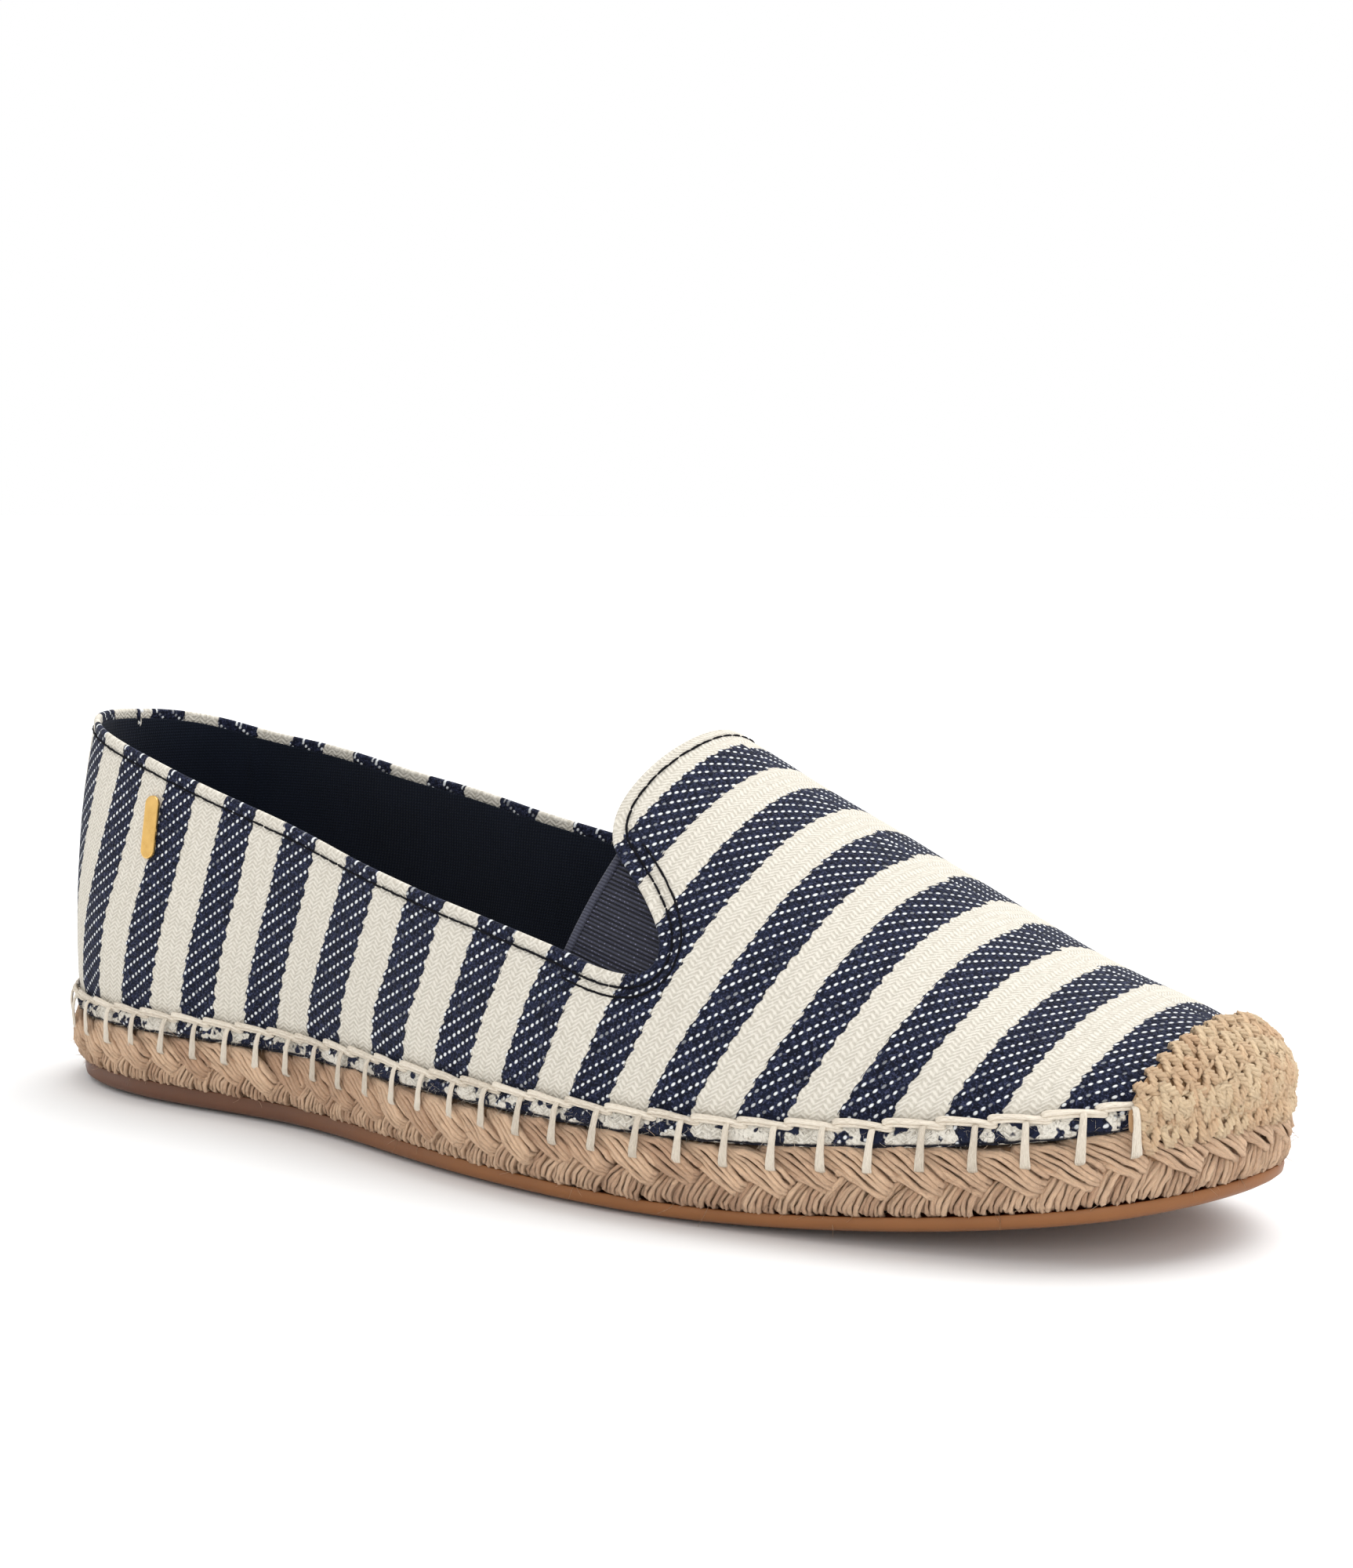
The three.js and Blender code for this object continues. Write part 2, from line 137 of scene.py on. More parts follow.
def closed_spline(knots):
    """A smooth closed curve through knots, as a function of the knot number."""
    n = len(knots)
    h = np.linalg.norm(np.roll(knots, -1, 0) - knots, axis=1) ** 0.7
    before = np.roll(h, 1)
    system = np.zeros((n, n))
    i = np.arange(n)
    system[i, (i - 1) % n] = h
    system[i, i] = 2 * (before + h)
    system[i, (i + 1) % n] = before
    pull = 3 * (
        (h / before)[:, None] * (knots - np.roll(knots, 1, 0))
        + (before / h)[:, None] * (np.roll(knots, -1, 0) - knots)
    )
    tangent = np.linalg.solve(system, pull)

    def curve(u):
        k = np.floor(u).astype(int)
        t = (u - k)[:, None]
        a, b, span = k % n, (k + 1) % n, h[k % n][:, None]
        return (
            (2 * t**3 - 3 * t**2 + 1) * knots[a] + (t**3 - 2 * t**2 + t) * span * tangent[a]
            + (3 * t**2 - 2 * t**3) * knots[b] + (t**3 - t**2) * span * tangent[b]
        )

    return curve


class Outline:
    """The sole's edge. Its place s runs from 0 at the heel by the outer side to 1 at the toe, and
    on by the inner side to 2."""

    FINE = 1200

    def __init__(self):
        outer = [(x, -a) for x, a, _ in PLAN]
        inner = [(x, b) for x, _, b in PLAN][::-1]
        knots = np.array([(0, 0), *outer, (LENGTH, TOE_TIP_Y), *inner], float)
        curve = closed_spline(knots)
        toe = len(PLAN) + 1
        points = []
        for start, end in ((0, toe), (toe, len(knots))):
            dense = curve(np.linspace(start, end, 4 * self.FINE))
            run = np.r_[0, np.cumsum(np.linalg.norm(np.diff(dense, axis=0), axis=1))]
            goal = np.linspace(0, run[-1], self.FINE + 1)[:-1]
            points.append(np.column_stack([np.interp(goal, run, dense[:, k]) for k in (0, 1)]))
        self.points = np.vstack(points)
        along = unit(np.roll(self.points, -12, 0) - np.roll(self.points, 12, 0))
        self.outward = np.column_stack([along[:, 1], -along[:, 0]])

    def _sample(self, values, s):
        u = np.asarray(s, float) * self.FINE
        k = np.floor(u).astype(int)
        t = (u - k)[..., None]
        n = 2 * self.FINE
        return values[k % n] * (1 - t) + values[(k + 1) % n] * t

    def at(self, s):
        return self._sample(self.points, s)

    def out(self, s):
        return unit(self._sample(self.outward, s))


EDGE = Outline()
EDGE_HALF = float(np.linalg.norm(np.diff(EDGE.points, axis=0), axis=1).sum() / 2)  # from heel to toe
MIDDLE_Y = (EDGE.points[:, 1].max() + EDGE.points[:, 1].min()) / 2


def in_frame(points):
    """Shoe millimetres as the frame's metres."""
    return (np.asarray(points, float) - (LENGTH / 2, MIDDLE_Y, 0)) / 1000


def toe_spring(x):
    return TOE_SPRING * np.clip((x - SPRING_START) / (LENGTH - SPRING_START), 0, None) ** 2


def rise_over_foot(points):
    """Height over the foot of the upper."""
    return points[:, 2] - FEATHER_Z - toe_spring(points[:, 0])


def along_ridge(x):
    def soft(v):
        return RIDGE_SOFTNESS * np.log1p(np.exp(-np.abs(v) / RIDGE_SOFTNESS)) + np.maximum(v, 0)

    return RIDGE_FRONT - soft(RIDGE_FRONT - RIDGE_BACK - soft(x - RIDGE_BACK))


def foot_of(s):
    p, out = EDGE.at(s), EDGE.out(s)
    inset = FEATHER_INSET + (CAP + GAP) * smooth(p[..., 0], 232, 248)
    q = p - out * inset[..., None]
    return np.concatenate([q, (FEATHER_Z + toe_spring(q[..., 0]))[..., None]], axis=-1)


def last_at(s, t):
    """The last's surface: place s round the sole's edge, share t of the rib up to the ridge."""
    s, t = np.broadcast_arrays(np.asarray(s, float), np.asarray(t, float))
    foot, facing = foot_of(s), foot_of(2 - s)
    out = EDGE.out(s)
    x = along_ridge((foot[..., 0] + facing[..., 0]) / 2)

    def row(column):
        return between(LAST, column, x)

    ridge = np.stack([x, row(SIDE), row(HEIGHT)], axis=-1)
    climb = between(LAST, HEIGHT, x + 0.5) - between(LAST, HEIGHT, x - 0.5)
    away = unit((foot - ridge)[..., :2])
    low = foot.copy()
    low[..., 2] += row(RISE)
    low[..., :2] += out * row(SWELL)[..., None]
    high = ridge.copy()
    high[..., :2] += away * row(LEVEL)[..., None]
    high[..., 2] += climb * away[..., 0] * row(LEVEL)
    t = t[..., None]
    return (1 - t) ** 3 * foot + 3 * (1 - t) ** 2 * t * low + 3 * (1 - t) * t**2 * high + t**3 * ridge


def last_normal(s, t):
    ds, dt = 0.004, 0.004
    around = last_at(s + ds, t) - last_at(s - ds, t)
    low = np.minimum(t, 1 - 2 * dt)
    upward = last_at(s, low + dt) - last_at(s, low - dt)
    return unit(np.cross(around, upward))


# ---------------------------------------------------------------- fields over the last
def crossing_rows(table, steps):
    """A side-view line smoothed between its rows (Catmull-Rom), as x, outer and inner height."""
    rows = np.array(table, float)
    padded = np.vstack([2 * rows[0] - rows[1], rows, 2 * rows[-1] - rows[-2]])
    line = []
    for k in range(1, len(padded) - 2):
        a, b, c, d = padded[k - 1 : k + 3]
        for t in np.arange(steps) / steps:
            line.append(
                0.5 * (2 * b + (c - a) * t + (2 * a - 5 * b + 4 * c - d) * t**2
                       + (3 * b - a - 3 * c + d) * t**3)
            )
    return np.array([*line, rows[-1]])


def side_distance(points, line, closing=()):
    """Distance in side view to a line across the shoe, below zero inside the closed outline."""
    rows = np.vstack([line, *closing]) if len(closing) else line
    middle, lean = (rows[:, 1] + rows[:, 2]) / 2, (rows[:, 2] - rows[:, 1]) / 2 / THROAT_SIDE
    x, y, z = points[:, 0, None], points[:, 1, None], points[:, 2, None]
    ax, az = rows[:, 0][None], middle[None] + lean[None] * y
    bx, bz = np.roll(ax, -1, 1), np.roll(az, -1, 1)
    t = np.clip(((x - ax) * (bx - ax) + (z - az) * (bz - az)) / ((bx - ax) ** 2 + (bz - az) ** 2), 0, 1)
    away = np.hypot(x - ax - t * (bx - ax), z - az - t * (bz - az))
    nearest = away[:, : len(line) - 1].min(axis=1)
    crosses = (az > z) != (bz > z)
    with np.errstate(divide="ignore", invalid="ignore"):
        reach = ax + (z - az) / (bz - az) * (bx - ax)
    within = (crosses & (x < reach)).sum(axis=1) % 2 == 1
    return np.where(within, -nearest, nearest)


THROAT_LINE = crossing_rows(THROAT, 6)
THROAT_TOP = [(THROAT[-1][0], 160, 160), (THROAT[0][0], 160, 160)]


def below_fold(points):
    """How far a point of the last lies below the folded edge of the throat."""
    return side_distance(points, THROAT_LINE, THROAT_TOP) - FOLD


def cap_edge(y):
    return CAP_EDGE_X - CAP_EDGE_BOW * np.minimum(1.6, ((y - TOE_TIP_Y) / CAP_HALF_WIDTH) ** 2)


# ---------------------------------------------------------------- meshes
def new_piece(name, points, faces, material, replaces=(), uv=None, layers=None, smooth_faces=True):
    """A finished piece from shoe millimetres; uv has one row for each corner of each face, in
    mm, and layers are per-point values for the material."""
    mesh = bpy.data.meshes.new(name)
    mesh.from_pydata(in_frame(points).tolist(), [], [list(map(int, f)) for f in faces])
    if uv is not None:
        mesh.uv_layers.new(name="Cloth").data.foreach_set("uv", (np.asarray(uv) / 1000).ravel())
    for key, values in (layers or {}).items():
        mesh.attributes.new(key, "FLOAT", "POINT").data.foreach_set("value", np.asarray(values, float))
    mesh.polygons.foreach_set("use_smooth", [smooth_faces] * len(mesh.polygons))
    mesh.materials.append(material)
    mesh.update()
    return place_piece(name, mesh, replaces)


def place_piece(name, mesh, replaces=()):
    piece = bpy.data.objects.new(name, mesh)
    bpy.context.collection.objects.link(piece)
    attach(piece, "root")
    if replaces:
        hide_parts(*replaces)
    return piece


SNAP_REACH = 0.68  # places this near a cut are moved onto it, mm


class Sheet:
    """Part of the last's surface as triangles over places (s, t), cut where a field is below zero."""

    def __init__(self, s, t, field):
        columns, rows = len(s), len(t)
        self.st = np.stack(np.meshgrid(s, t, indexing="ij"), -1).reshape(-1, 2)
        a = (np.arange(columns - 1)[:, None] * rows + np.arange(rows - 1)[None]).ravel()
        quads = np.stack([a, a + rows, a + rows + 1, a + 1], -1)
        self.faces = np.vstack([quads[:, [0, 1, 2]], quads[:, [0, 2, 3]]])
        value = field(last_at(*self.st.T))
        value = self._snap(value, field, (s[1] - s[0], t[1] - t[0]))
        self._cut(value)
        self._weld()

    def _snap(self, value, field, cell):
        """Moves places near the cut onto it, so that it leaves no slivers."""
        near = np.flatnonzero(np.abs(value) < SNAP_REACH)
        inside = (self.st[near, 1] > 1e-6) & (self.st[near, 1] < 1 - 1e-6)
        near = near[inside & (self.st[near, 0] > 1e-6) & (self.st[near, 0] < 2 - 1e-6)]
        st = self.st[near].copy()
        step = np.array(cell) * 0.1
        for _ in range(3):
            here = field(last_at(*st.T))
            ds = field(last_at(st[:, 0] + step[0], st[:, 1])) - here
            dt = field(last_at(st[:, 0], st[:, 1] + step[1])) - here
            norm = np.maximum(ds**2 + dt**2, 1e-6)
            st[:, 0] -= np.clip(here * ds / norm, -4, 4) * step[0]
            st[:, 1] -= np.clip(here * dt / norm, -4, 4) * step[1]
        here = field(last_at(*st.T))
        moved = np.abs(st - self.st[near]) / cell
        good = (np.abs(here) < 0.05) & (moved.max(axis=1) < 0.6)
        self.st[near[good]] = st[good]
        value[near[good]] = 0
        return value

    def _cut(self, value):
        st, faces = list(map(tuple, self.st)), []
        crossing = {}

        def cut_edge(a, b):
            key = (min(a, b), max(a, b))
            if key not in crossing:
                crossing[key] = len(st)
                p, q = np.array(st[key[0]]), np.array(st[key[1]])
                share = value[key[0]] / (value[key[0]] - value[key[1]])
                st.append(tuple(p + (q - p) * share))
            return crossing[key]

        for f in self.faces:
            v = value[f]
            if (v >= 0).all():
                if (v > 0).any():
                    faces.append(tuple(f))
                continue
            if (v <= 0).all():
                continue
            ring = []
            for k in range(3):
                a, b = f[k], f[(k + 1) % 3]
                if value[a] >= 0:
                    ring.append(a)
                if value[a] * value[b] < 0:
                    ring.append(cut_edge(a, b))
            for k in range(1, len(ring) - 1):
                faces.append((ring[0], ring[k], ring[k + 1]))
        self.st, self.faces = np.array(st), np.array(faces, int).reshape(-1, 3)
        used = np.unique(self.faces)
        place = np.full(len(self.st), -1)
        place[used] = np.arange(len(used))
        self.st, self.faces = self.st[used], place[self.faces]

    def _weld(self):
        """Joins the sheet to itself at the heel and along the ridge. weld gives each place's point."""
        points = last_at(*self.st.T)
        _, first, weld = np.unique(np.round(points * 200 + 0.137).astype(int), axis=0,
                                   return_index=True, return_inverse=True)
        self.weld = weld.ravel()
        self.points, self.normals = points[first], last_normal(*self.st[first].T)
        self.place = first
        solid = np.array([len(set(self.weld[f])) == 3 for f in self.faces], bool)
        self.faces = self.faces[solid]
        self.triangles = self.weld[self.faces]

    def rims(self):
        """The sheet's open edges as closed chains of points, in the faces' own direction."""
        owned = {(a, b) for f in self.triangles for a, b in zip(f, np.roll(f, -1))}
        follow = {a: b for a, b in owned if (b, a) not in owned}
        chains = []
        while follow:
            start = next(iter(follow))
            chain, here = [], start
            while here in follow:
                chain.append(here)
                here = follow.pop(here)
            chains.append(np.array(chain))
        return chains


def blur(values, passes):
    for _ in range(passes):
        values = (np.roll(values, 1, 0) + 2 * values + np.roll(values, -1, 0)) / 4
    return values


def value_noise(points, cell, seed):
    """Smooth noise from -1 to 1 over space, from a table of random values."""
    table = np.random.default_rng(seed).uniform(-1, 1, (17, 17, 17))
    u = np.asarray(points) / cell
    k = np.floor(u).astype(int)
    f = u - k
    f = f * f * (3 - 2 * f)
    total = 0
    for corner in np.ndindex(2, 2, 2):
        weight = np.prod([f[:, a] if corner[a] else 1 - f[:, a] for a in range(3)], axis=0)
        total = total + weight * table[tuple((k[:, a] + corner[a]) % 17 for a in range(3))]
    return total


# ---------------------------------------------------------------- cloth coordinates
# Navy stripes along the hem: distance from the heel, number of the stripe
STRIPES = [
    (-48, -4), (19.9, 0), (36.8, 1), (53.7, 2), (70, 3), (87.5, 4), (107.4, 5), (125.5, 6), (142.2, 7),
    (157.5, 8), (173.3, 9), (189.8, 10), (206.4, 11), (223.3, 12), (239.6, 13), (256, 14),
]

# How far the stripes lean forward, by where they leave the hem, at each height over it: each row
# has the distance from the heel, then the lean at each of the heights
LEAN_HEIGHTS = [5, 12, 20, 30, 40, 52, 66]
LEAN = [
    (-60, 0, 1, 2.4, 4.4, 6.4, 8.8, 11.5),
    (-10, 0, 0.6, 2.2, 5.4, 8.2, 10.6, 12.8),
    (20, 0, 0.2, 2, 6.5, 10, 12.5, 14),
    (37, 0, 1, 3, 6.2, 8.6, 10, 11),
    (54, 0, 0.7, 2.7, 5.3, 7, 8.5, 10),
    (70, 0, 1, 3.1, 5.9, 7.5, 9, 11),
    (87.5, 0, 1.2, 4, 7.3, 9.5, 11.5, 13),
    (107.8, 0, 1.1, 4.2, 6.4, 9, 12, 14),
    (125.7, 0, 2.1, 4.8, 7.5, 10.5, 14.5, 18.5),
    (142.4, 0, 2.4, 4.9, 8.5, 12.4, 16.8, 21.5),
    (157.5, 0, 3.4, 6.3, 9.9, 13.8, 16.4, 18),
    (173.3, 0, 3.6, 7.5, 11.6, 13.7, 15.5, 17),
    (189.8, 0, 3.8, 7.6, 10.3, 12.3, 14, 15),
    (206.4, 0, 3.6, 6.6, 8.4, 9.5, 11, 12),
    (223.5, 0, 2.7, 4.9, 6.4, 7.4, 8, 9),
    (240, 0, 2, 3.6, 4.8, 5.6, 6, 7),
]


# How much further forward than on the outer side the stripes leave the hem on the inner side
INNER_SHIFT = [
    (-60, -6), (0, -5), (20, -3.8), (37, -1), (54, 5.5), (70, 8.5), (87.5, 9), (107, 7), (125.5, 4),
    (142, 1), (157, 0), (256, 0),
]


def leaned(hem, rise):
    """How far a stripe that leaves the hem at a place has leaned forward at a height over it."""
    columns = [between(LEAN, k + 1, hem) for k in range(len(LEAN_HEIGHTS))]
    total = (rise - LEAN_HEIGHTS[0]) * 0.12 * (rise < LEAN_HEIGHTS[0])
    for k in range(1, len(LEAN_HEIGHTS)):
        low, high = LEAN_HEIGHTS[k - 1], LEAN_HEIGHTS[k]
        share = np.clip((rise - low) / (high - low), 0, 1)
        total = total + (columns[k] - columns[k - 1]) * share
    return total


def heel_arc(s):
    """Distance along the sole's edge from the heel, agreeing with x in front of x = 40."""
    side = np.where(s <= 1, s, 2 - s)
    fine = np.linspace(0, 0.5, 300)
    p = EDGE.at(fine)
    run = np.r_[0, np.cumsum(np.linalg.norm(np.diff(p, axis=0), axis=1))]
    at_40 = np.interp(40, p[:, 0], run)
    return np.interp(side, fine, run) - at_40 + 40


RUN_COLUMNS, RUN_ROWS = 420, 100
MID_VAMP = 130  # the rib's column there


def table_of_runs():
    """Distance along each rib from the foot of the upper, at even shares of the rib."""
    grid = last_at(np.linspace(0, 2, RUN_COLUMNS + 1)[:, None], np.linspace(0, 1, RUN_ROWS + 1)[None])
    steps = np.diff(grid, axis=1, prepend=grid[:, :1])
    return np.cumsum(np.linalg.norm(steps, axis=2), axis=1)


RUNS = table_of_runs()
OVER_RIDGE = 2 * RUNS[MID_VAMP, -1]  # the cloth's run from hem to hem over the vamp


def rib_run(s, t):
    """Distance along a rib from the foot of the upper, between the table's values."""
    u = np.clip(s * RUN_COLUMNS / 2, 0, RUN_COLUMNS - 0.001)
    v = np.clip(t * RUN_ROWS, 0, RUN_ROWS - 0.001)
    i, j = u.astype(int), v.astype(int)
    a, b = u - i, v - j
    low = RUNS[i, j] * (1 - a) + RUNS[i + 1, j] * a
    high = RUNS[i, j + 1] * (1 - a) + RUNS[i + 1, j + 1] * a
    return low * (1 - b) + high * b


def cloth_place(s, t, points):
    """Where a point lies on the cloth, mm: U across the stripes, V along them."""
    foot = foot_of(s)
    x = points[:, 0]
    rise = rise_over_foot(points)
    wrap = 1 - smooth(foot[:, 0], 30, 50)
    along = unit(EDGE.at(s + 0.002) - EDGE.at(s - 0.002)) * np.where(s <= 1, 1, -1)[:, None]
    round_heel = heel_arc(s) + ((points - foot)[:, :2] * along).sum(axis=1)
    base = x * (1 - wrap) + round_heel * wrap
    hem = base.copy()
    for _ in range(8):
        hem = base - leaned(hem, rise) - between(INNER_SHIFT, 1, hem) * (s > 1)
    u = between(STRIPES, 1, hem) * STRIPE_PITCH
    run = rib_run(s, t)
    outer, inner = EDGE.points[:EDGE.FINE], EDGE.points[:EDGE.FINE:-1]
    from_outer = points[:, 1] - np.interp(x, *outer.T)
    from_inner = np.interp(x, *inner.T) - points[:, 1]
    from_edge = np.where(s <= 1, from_outer, from_inner)
    toe = smooth(x, 205, 228)
    v = run * (1 - toe) + 0.8 * (rise + from_edge) * toe
    return np.column_stack([u, np.where(s <= 1, v, OVER_RIDGE - v)])


# ---------------------------------------------------------------- finishes
class Finish:
    """A material's node tree, written as short sums of sockets."""

    def __init__(self, name, roughness, **constants):
        self.material = bpy.data.materials.new(name)
        self.material.use_nodes = True
        self.tree = self.material.node_tree
        self.shader = self.tree.nodes["Principled BSDF"]
        self.shader.inputs["Roughness"].default_value = roughness
        for key, value in constants.items():
            self.shader.inputs[key.replace("_", " ")].default_value = value

    def node(self, kind, inputs=(), **settings):
        made = self.tree.nodes.new("ShaderNode" + kind)
        for key, value in settings.items():
            setattr(made, key, value)
        for key, value in dict(inputs).items():
            self.feed(made.inputs[key], value)
        return made

    def feed(self, socket, value):
        if isinstance(value, bpy.types.NodeSocket):
            self.tree.links.new(value, socket)
        else:
            socket.default_value = value

    def sum(self, operation, *values):
        made = self.node("Math", operation=operation)
        for socket, value in zip(made.inputs, values):
            self.feed(socket, value)
        return made.outputs[0]

    def times(self, a, b):
        return self.sum("MULTIPLY", a, b)

    def plus(self, a, b):
        return self.sum("ADD", a, b)

    def minus(self, a, b):
        return self.sum("SUBTRACT", a, b)

    def over(self, a, b):
        return self.sum("DIVIDE", a, b)

    def wave(self, value):
        """Up from 0 to 0.5 and down again for each whole step of the value."""
        return self.sum("PINGPONG", value, 0.5)

    def ramp(self, value, low, high, out_low=0.0, out_high=1.0):
        made = self.node("MapRange", {"Value": value, "From Min": low, "From Max": high,
                                      "To Min": out_low, "To Max": out_high},
                         interpolation_type="SMOOTHSTEP")
        return made.outputs["Result"]

    def mix(self, share, a, b):
        made = self.node("Mix", data_type="RGBA")
        self.feed(made.inputs[0], share)
        for socket, value in ((made.inputs[6], a), (made.inputs[7], b)):
            self.feed(socket, value if isinstance(value, bpy.types.NodeSocket) else (*value, 1))
        return made.outputs[2]

    def place(self):
        return self.node("TexCoord").outputs["Object"]

    def attribute(self, name):
        return self.node("Attribute", attribute_name=name).outputs["Fac"]

    def uv(self, name):
        split = self.node("SeparateXYZ", {0: self.node("UVMap", uv_map=name).outputs[0]})
        return split.outputs[0], split.outputs[1]

    def join(self, x, y, z=0.0):
        return self.node("CombineXYZ", {0: x, 1: y, 2: z}).outputs[0]

    def noise(self, vector, scale, detail=2.0, roughness=0.5):
        made = self.node("TexNoise", {"Vector": vector, "Scale": scale, "Detail": detail,
                                      "Roughness": roughness})
        return made.outputs["Fac"]

    def random(self, vector):
        return self.node("TexWhiteNoise", {"Vector": vector}, noise_dimensions="3D").outputs["Value"]

    def bump(self, height, depth, strength=1.0, under=None):
        made = self.node("Bump", {"Height": height, "Distance": depth, "Strength": strength})
        if under is not None:
            self.feed(made.inputs["Normal"], under)
        return made.outputs["Normal"]

    def finish(self, color=None, normal=None, roughness=None):
        for key, value in (("Base Color", color), ("Normal", normal), ("Roughness", roughness)):
            if value is not None:
                self.feed(self.shader.inputs[key], value)
        return self.material


# Colors of the yarns and threads: light fibres, dark fibres, and the shade between them
JUTE_YARN = (0.93, 0.64, 0.42), (0.62, 0.375, 0.23), (0.2, 0.095, 0.045)
JUTE_IN_SHADE = (0.4, 0.24, 0.13), (0.24, 0.135, 0.07), (0.1, 0.05, 0.025)
CROCHET_YARN = (1.0, 0.77, 0.5), (0.87, 0.57, 0.34), (0.42, 0.22, 0.1)
# The crochet ground is the crochet yarn darkened as painted shade, for the cap's base that shows between
# the stitches
CROCHET_GROUND_IN_SHADE = (0.7, 0.46, 0.25), (0.48, 0.29, 0.15), (0.26, 0.14, 0.06)
ECRU_THREAD = (0.83, 0.75, 0.63), (0.55, 0.47, 0.37)
BLACK_THREAD = (0.006, 0.006, 0.009), (0.003, 0.003, 0.005)

# The twill's colors, and its weave in metres
ECRU, ECRU_SHADE = (0.72, 0.68, 0.6), (0.4, 0.365, 0.3)
NAVY, NAVY_DEEP, NAVY_WORN = (0.011, 0.015, 0.036), (0.003, 0.004, 0.011), (0.05, 0.058, 0.115)
FLECK = (0.72, 0.74, 0.75)
COLUMN, CLIMB, ROW = 0.00084, 0.00064, 0.0029  # the twill: step across, its climb, rows of flecks


class Twill:
    """The twill's own pattern as sockets: its columns, and rows of floats that climb from one
    column to the next. Each runs over its cell from -0.5 to 0.5."""

    def __init__(self, f):
        self.u, self.v = f.uv("Cloth")
        self.place = f.place()
        self.wobble = f.minus(f.noise(self.place, 260, 2), 0.5)
        self.grain = f.noise(self.place, 2600, 3, 0.65)
        self.mottle = f.noise(self.place, 900, 2, 0.6)
        column = f.plus(f.over(self.u, COLUMN), f.times(self.wobble, 0.7))
        column_cell = f.sum("FLOOR", column)
        self.across = f.minus(f.sum("FRACT", column), 0.5)
        climbed = f.minus(self.v, f.times(column_cell, CLIMB))
        self.row = f.plus(f.over(climbed, ROW), f.times(self.wobble, 0.16))
        self.along = f.minus(f.sum("FRACT", self.row), 0.5)
        self.luck = f.random(f.join(column_cell, f.sum("FLOOR", self.row)))


def navy_share(f, twill):
    """Where the stripes are navy; their edges step once for every row of the twill."""
    step = f.times(f.wave(f.sum("FRACT", twill.row)), 0.0012)
    frizz = f.noise(f.join(f.times(twill.u, 0.2), twill.v), 1500, 1)
    shifted = f.plus(f.plus(twill.u, step), f.times(f.minus(frizz, 0.5), 0.0008))
    pitch = STRIPE_PITCH / 1000
    in_pitches = f.over(f.plus(shifted, pitch * 50.5 - 0.0003), pitch)
    from_middle = f.times(f.sum("ABSOLUTE", f.minus(f.sum("FRACT", in_pitches), 0.5)), pitch)
    half = STRIPE_WIDTH / 2000
    return f.ramp(from_middle, half + 0.00012, half - 0.00012)


def weft_flecks(f, twill):
    """Round specks of the pale weft, one in each cell of the twill, some of them faint."""
    dx = f.times(twill.across, COLUMN / 0.00036)
    dy = f.times(twill.along, ROW / 0.00038)
    away = f.sum("SQRT", f.plus(f.times(dx, dx), f.times(dy, dy)))
    away = f.plus(away, f.times(twill.wobble, 0.55))
    return f.times(f.ramp(away, 1.05, 0.55), f.ramp(twill.luck, 0.02, 0.3, 0.25, 1.0))


def navy_yarns(f, twill):
    """Color and height of the navy: round yarns with three floats to a row, worn on top."""
    fleck = weft_flecks(f, twill)
    floats = f.times(f.plus(twill.row, f.times(twill.across, 0.16)), 3.0)
    float_edge = f.times(f.wave(floats), 2.0)
    yarn_round = f.minus(1.0, f.times(f.times(twill.across, twill.across), 3.2))
    height = f.plus(f.times(f.ramp(float_edge, 0.05, 0.75), 0.5), f.times(yarn_round, 0.45))
    height = f.plus(height, f.times(fleck, 0.55))
    tone = f.plus(f.times(twill.mottle, 0.7), f.times(twill.grain, 0.3))
    color = f.mix(f.ramp(tone, 0.38, 0.68), NAVY_DEEP, NAVY)
    color = f.mix(f.times(f.ramp(twill.grain, 0.5, 0.66), 0.8), color, NAVY_WORN)
    return f.mix(fleck, color, FLECK), height


def ecru_yarns(f, twill):
    """Color and height of the ecru: a faint herringbone in ribs, with soft grain."""
    sway = f.times(f.wave(f.over(twill.u, 0.0027)), 2.4)
    herring = f.wave(f.plus(f.over(twill.v, 0.00082), sway))
    rib = f.wave(f.over(twill.u, 0.00135))
    height = f.plus(f.times(f.ramp(herring, 0.05, 0.45), 0.62), f.times(f.ramp(rib, 0.0, 0.4), 0.22))
    nap = f.plus(f.times(twill.grain, 0.8), f.times(f.noise(twill.place, 1300, 2, 0.6), 0.7))
    height = f.plus(height, nap)
    tone = f.plus(f.times(height, 0.38), f.times(twill.mottle, 0.3))
    shade = f.ramp(tone, 0.42, 0.8, 1.0, 0.0)
    return f.mix(f.times(shade, 0.62), ECRU, ECRU_SHADE), height


def frayed_look(f, twill, color, normal):
    """Tufts of both colors over the raw edge, and its dark lowest line."""
    tufts = f.noise(twill.place, 300, 2, 0.5)
    color = f.mix(f.ramp(tufts, 0.53, 0.56), color, ECRU)
    color = f.mix(f.ramp(tufts, 0.45, 0.42), color, NAVY)
    bottom = f.plus(twill.v, f.times(f.minus(tufts, 0.5), 0.0009))
    color = f.mix(f.ramp(bottom, 0.0009, 0.0005), color, NAVY_DEEP)
    return color, f.bump(f.noise(twill.place, 700, 3, 0.7), 0.0009, 1.0, normal)


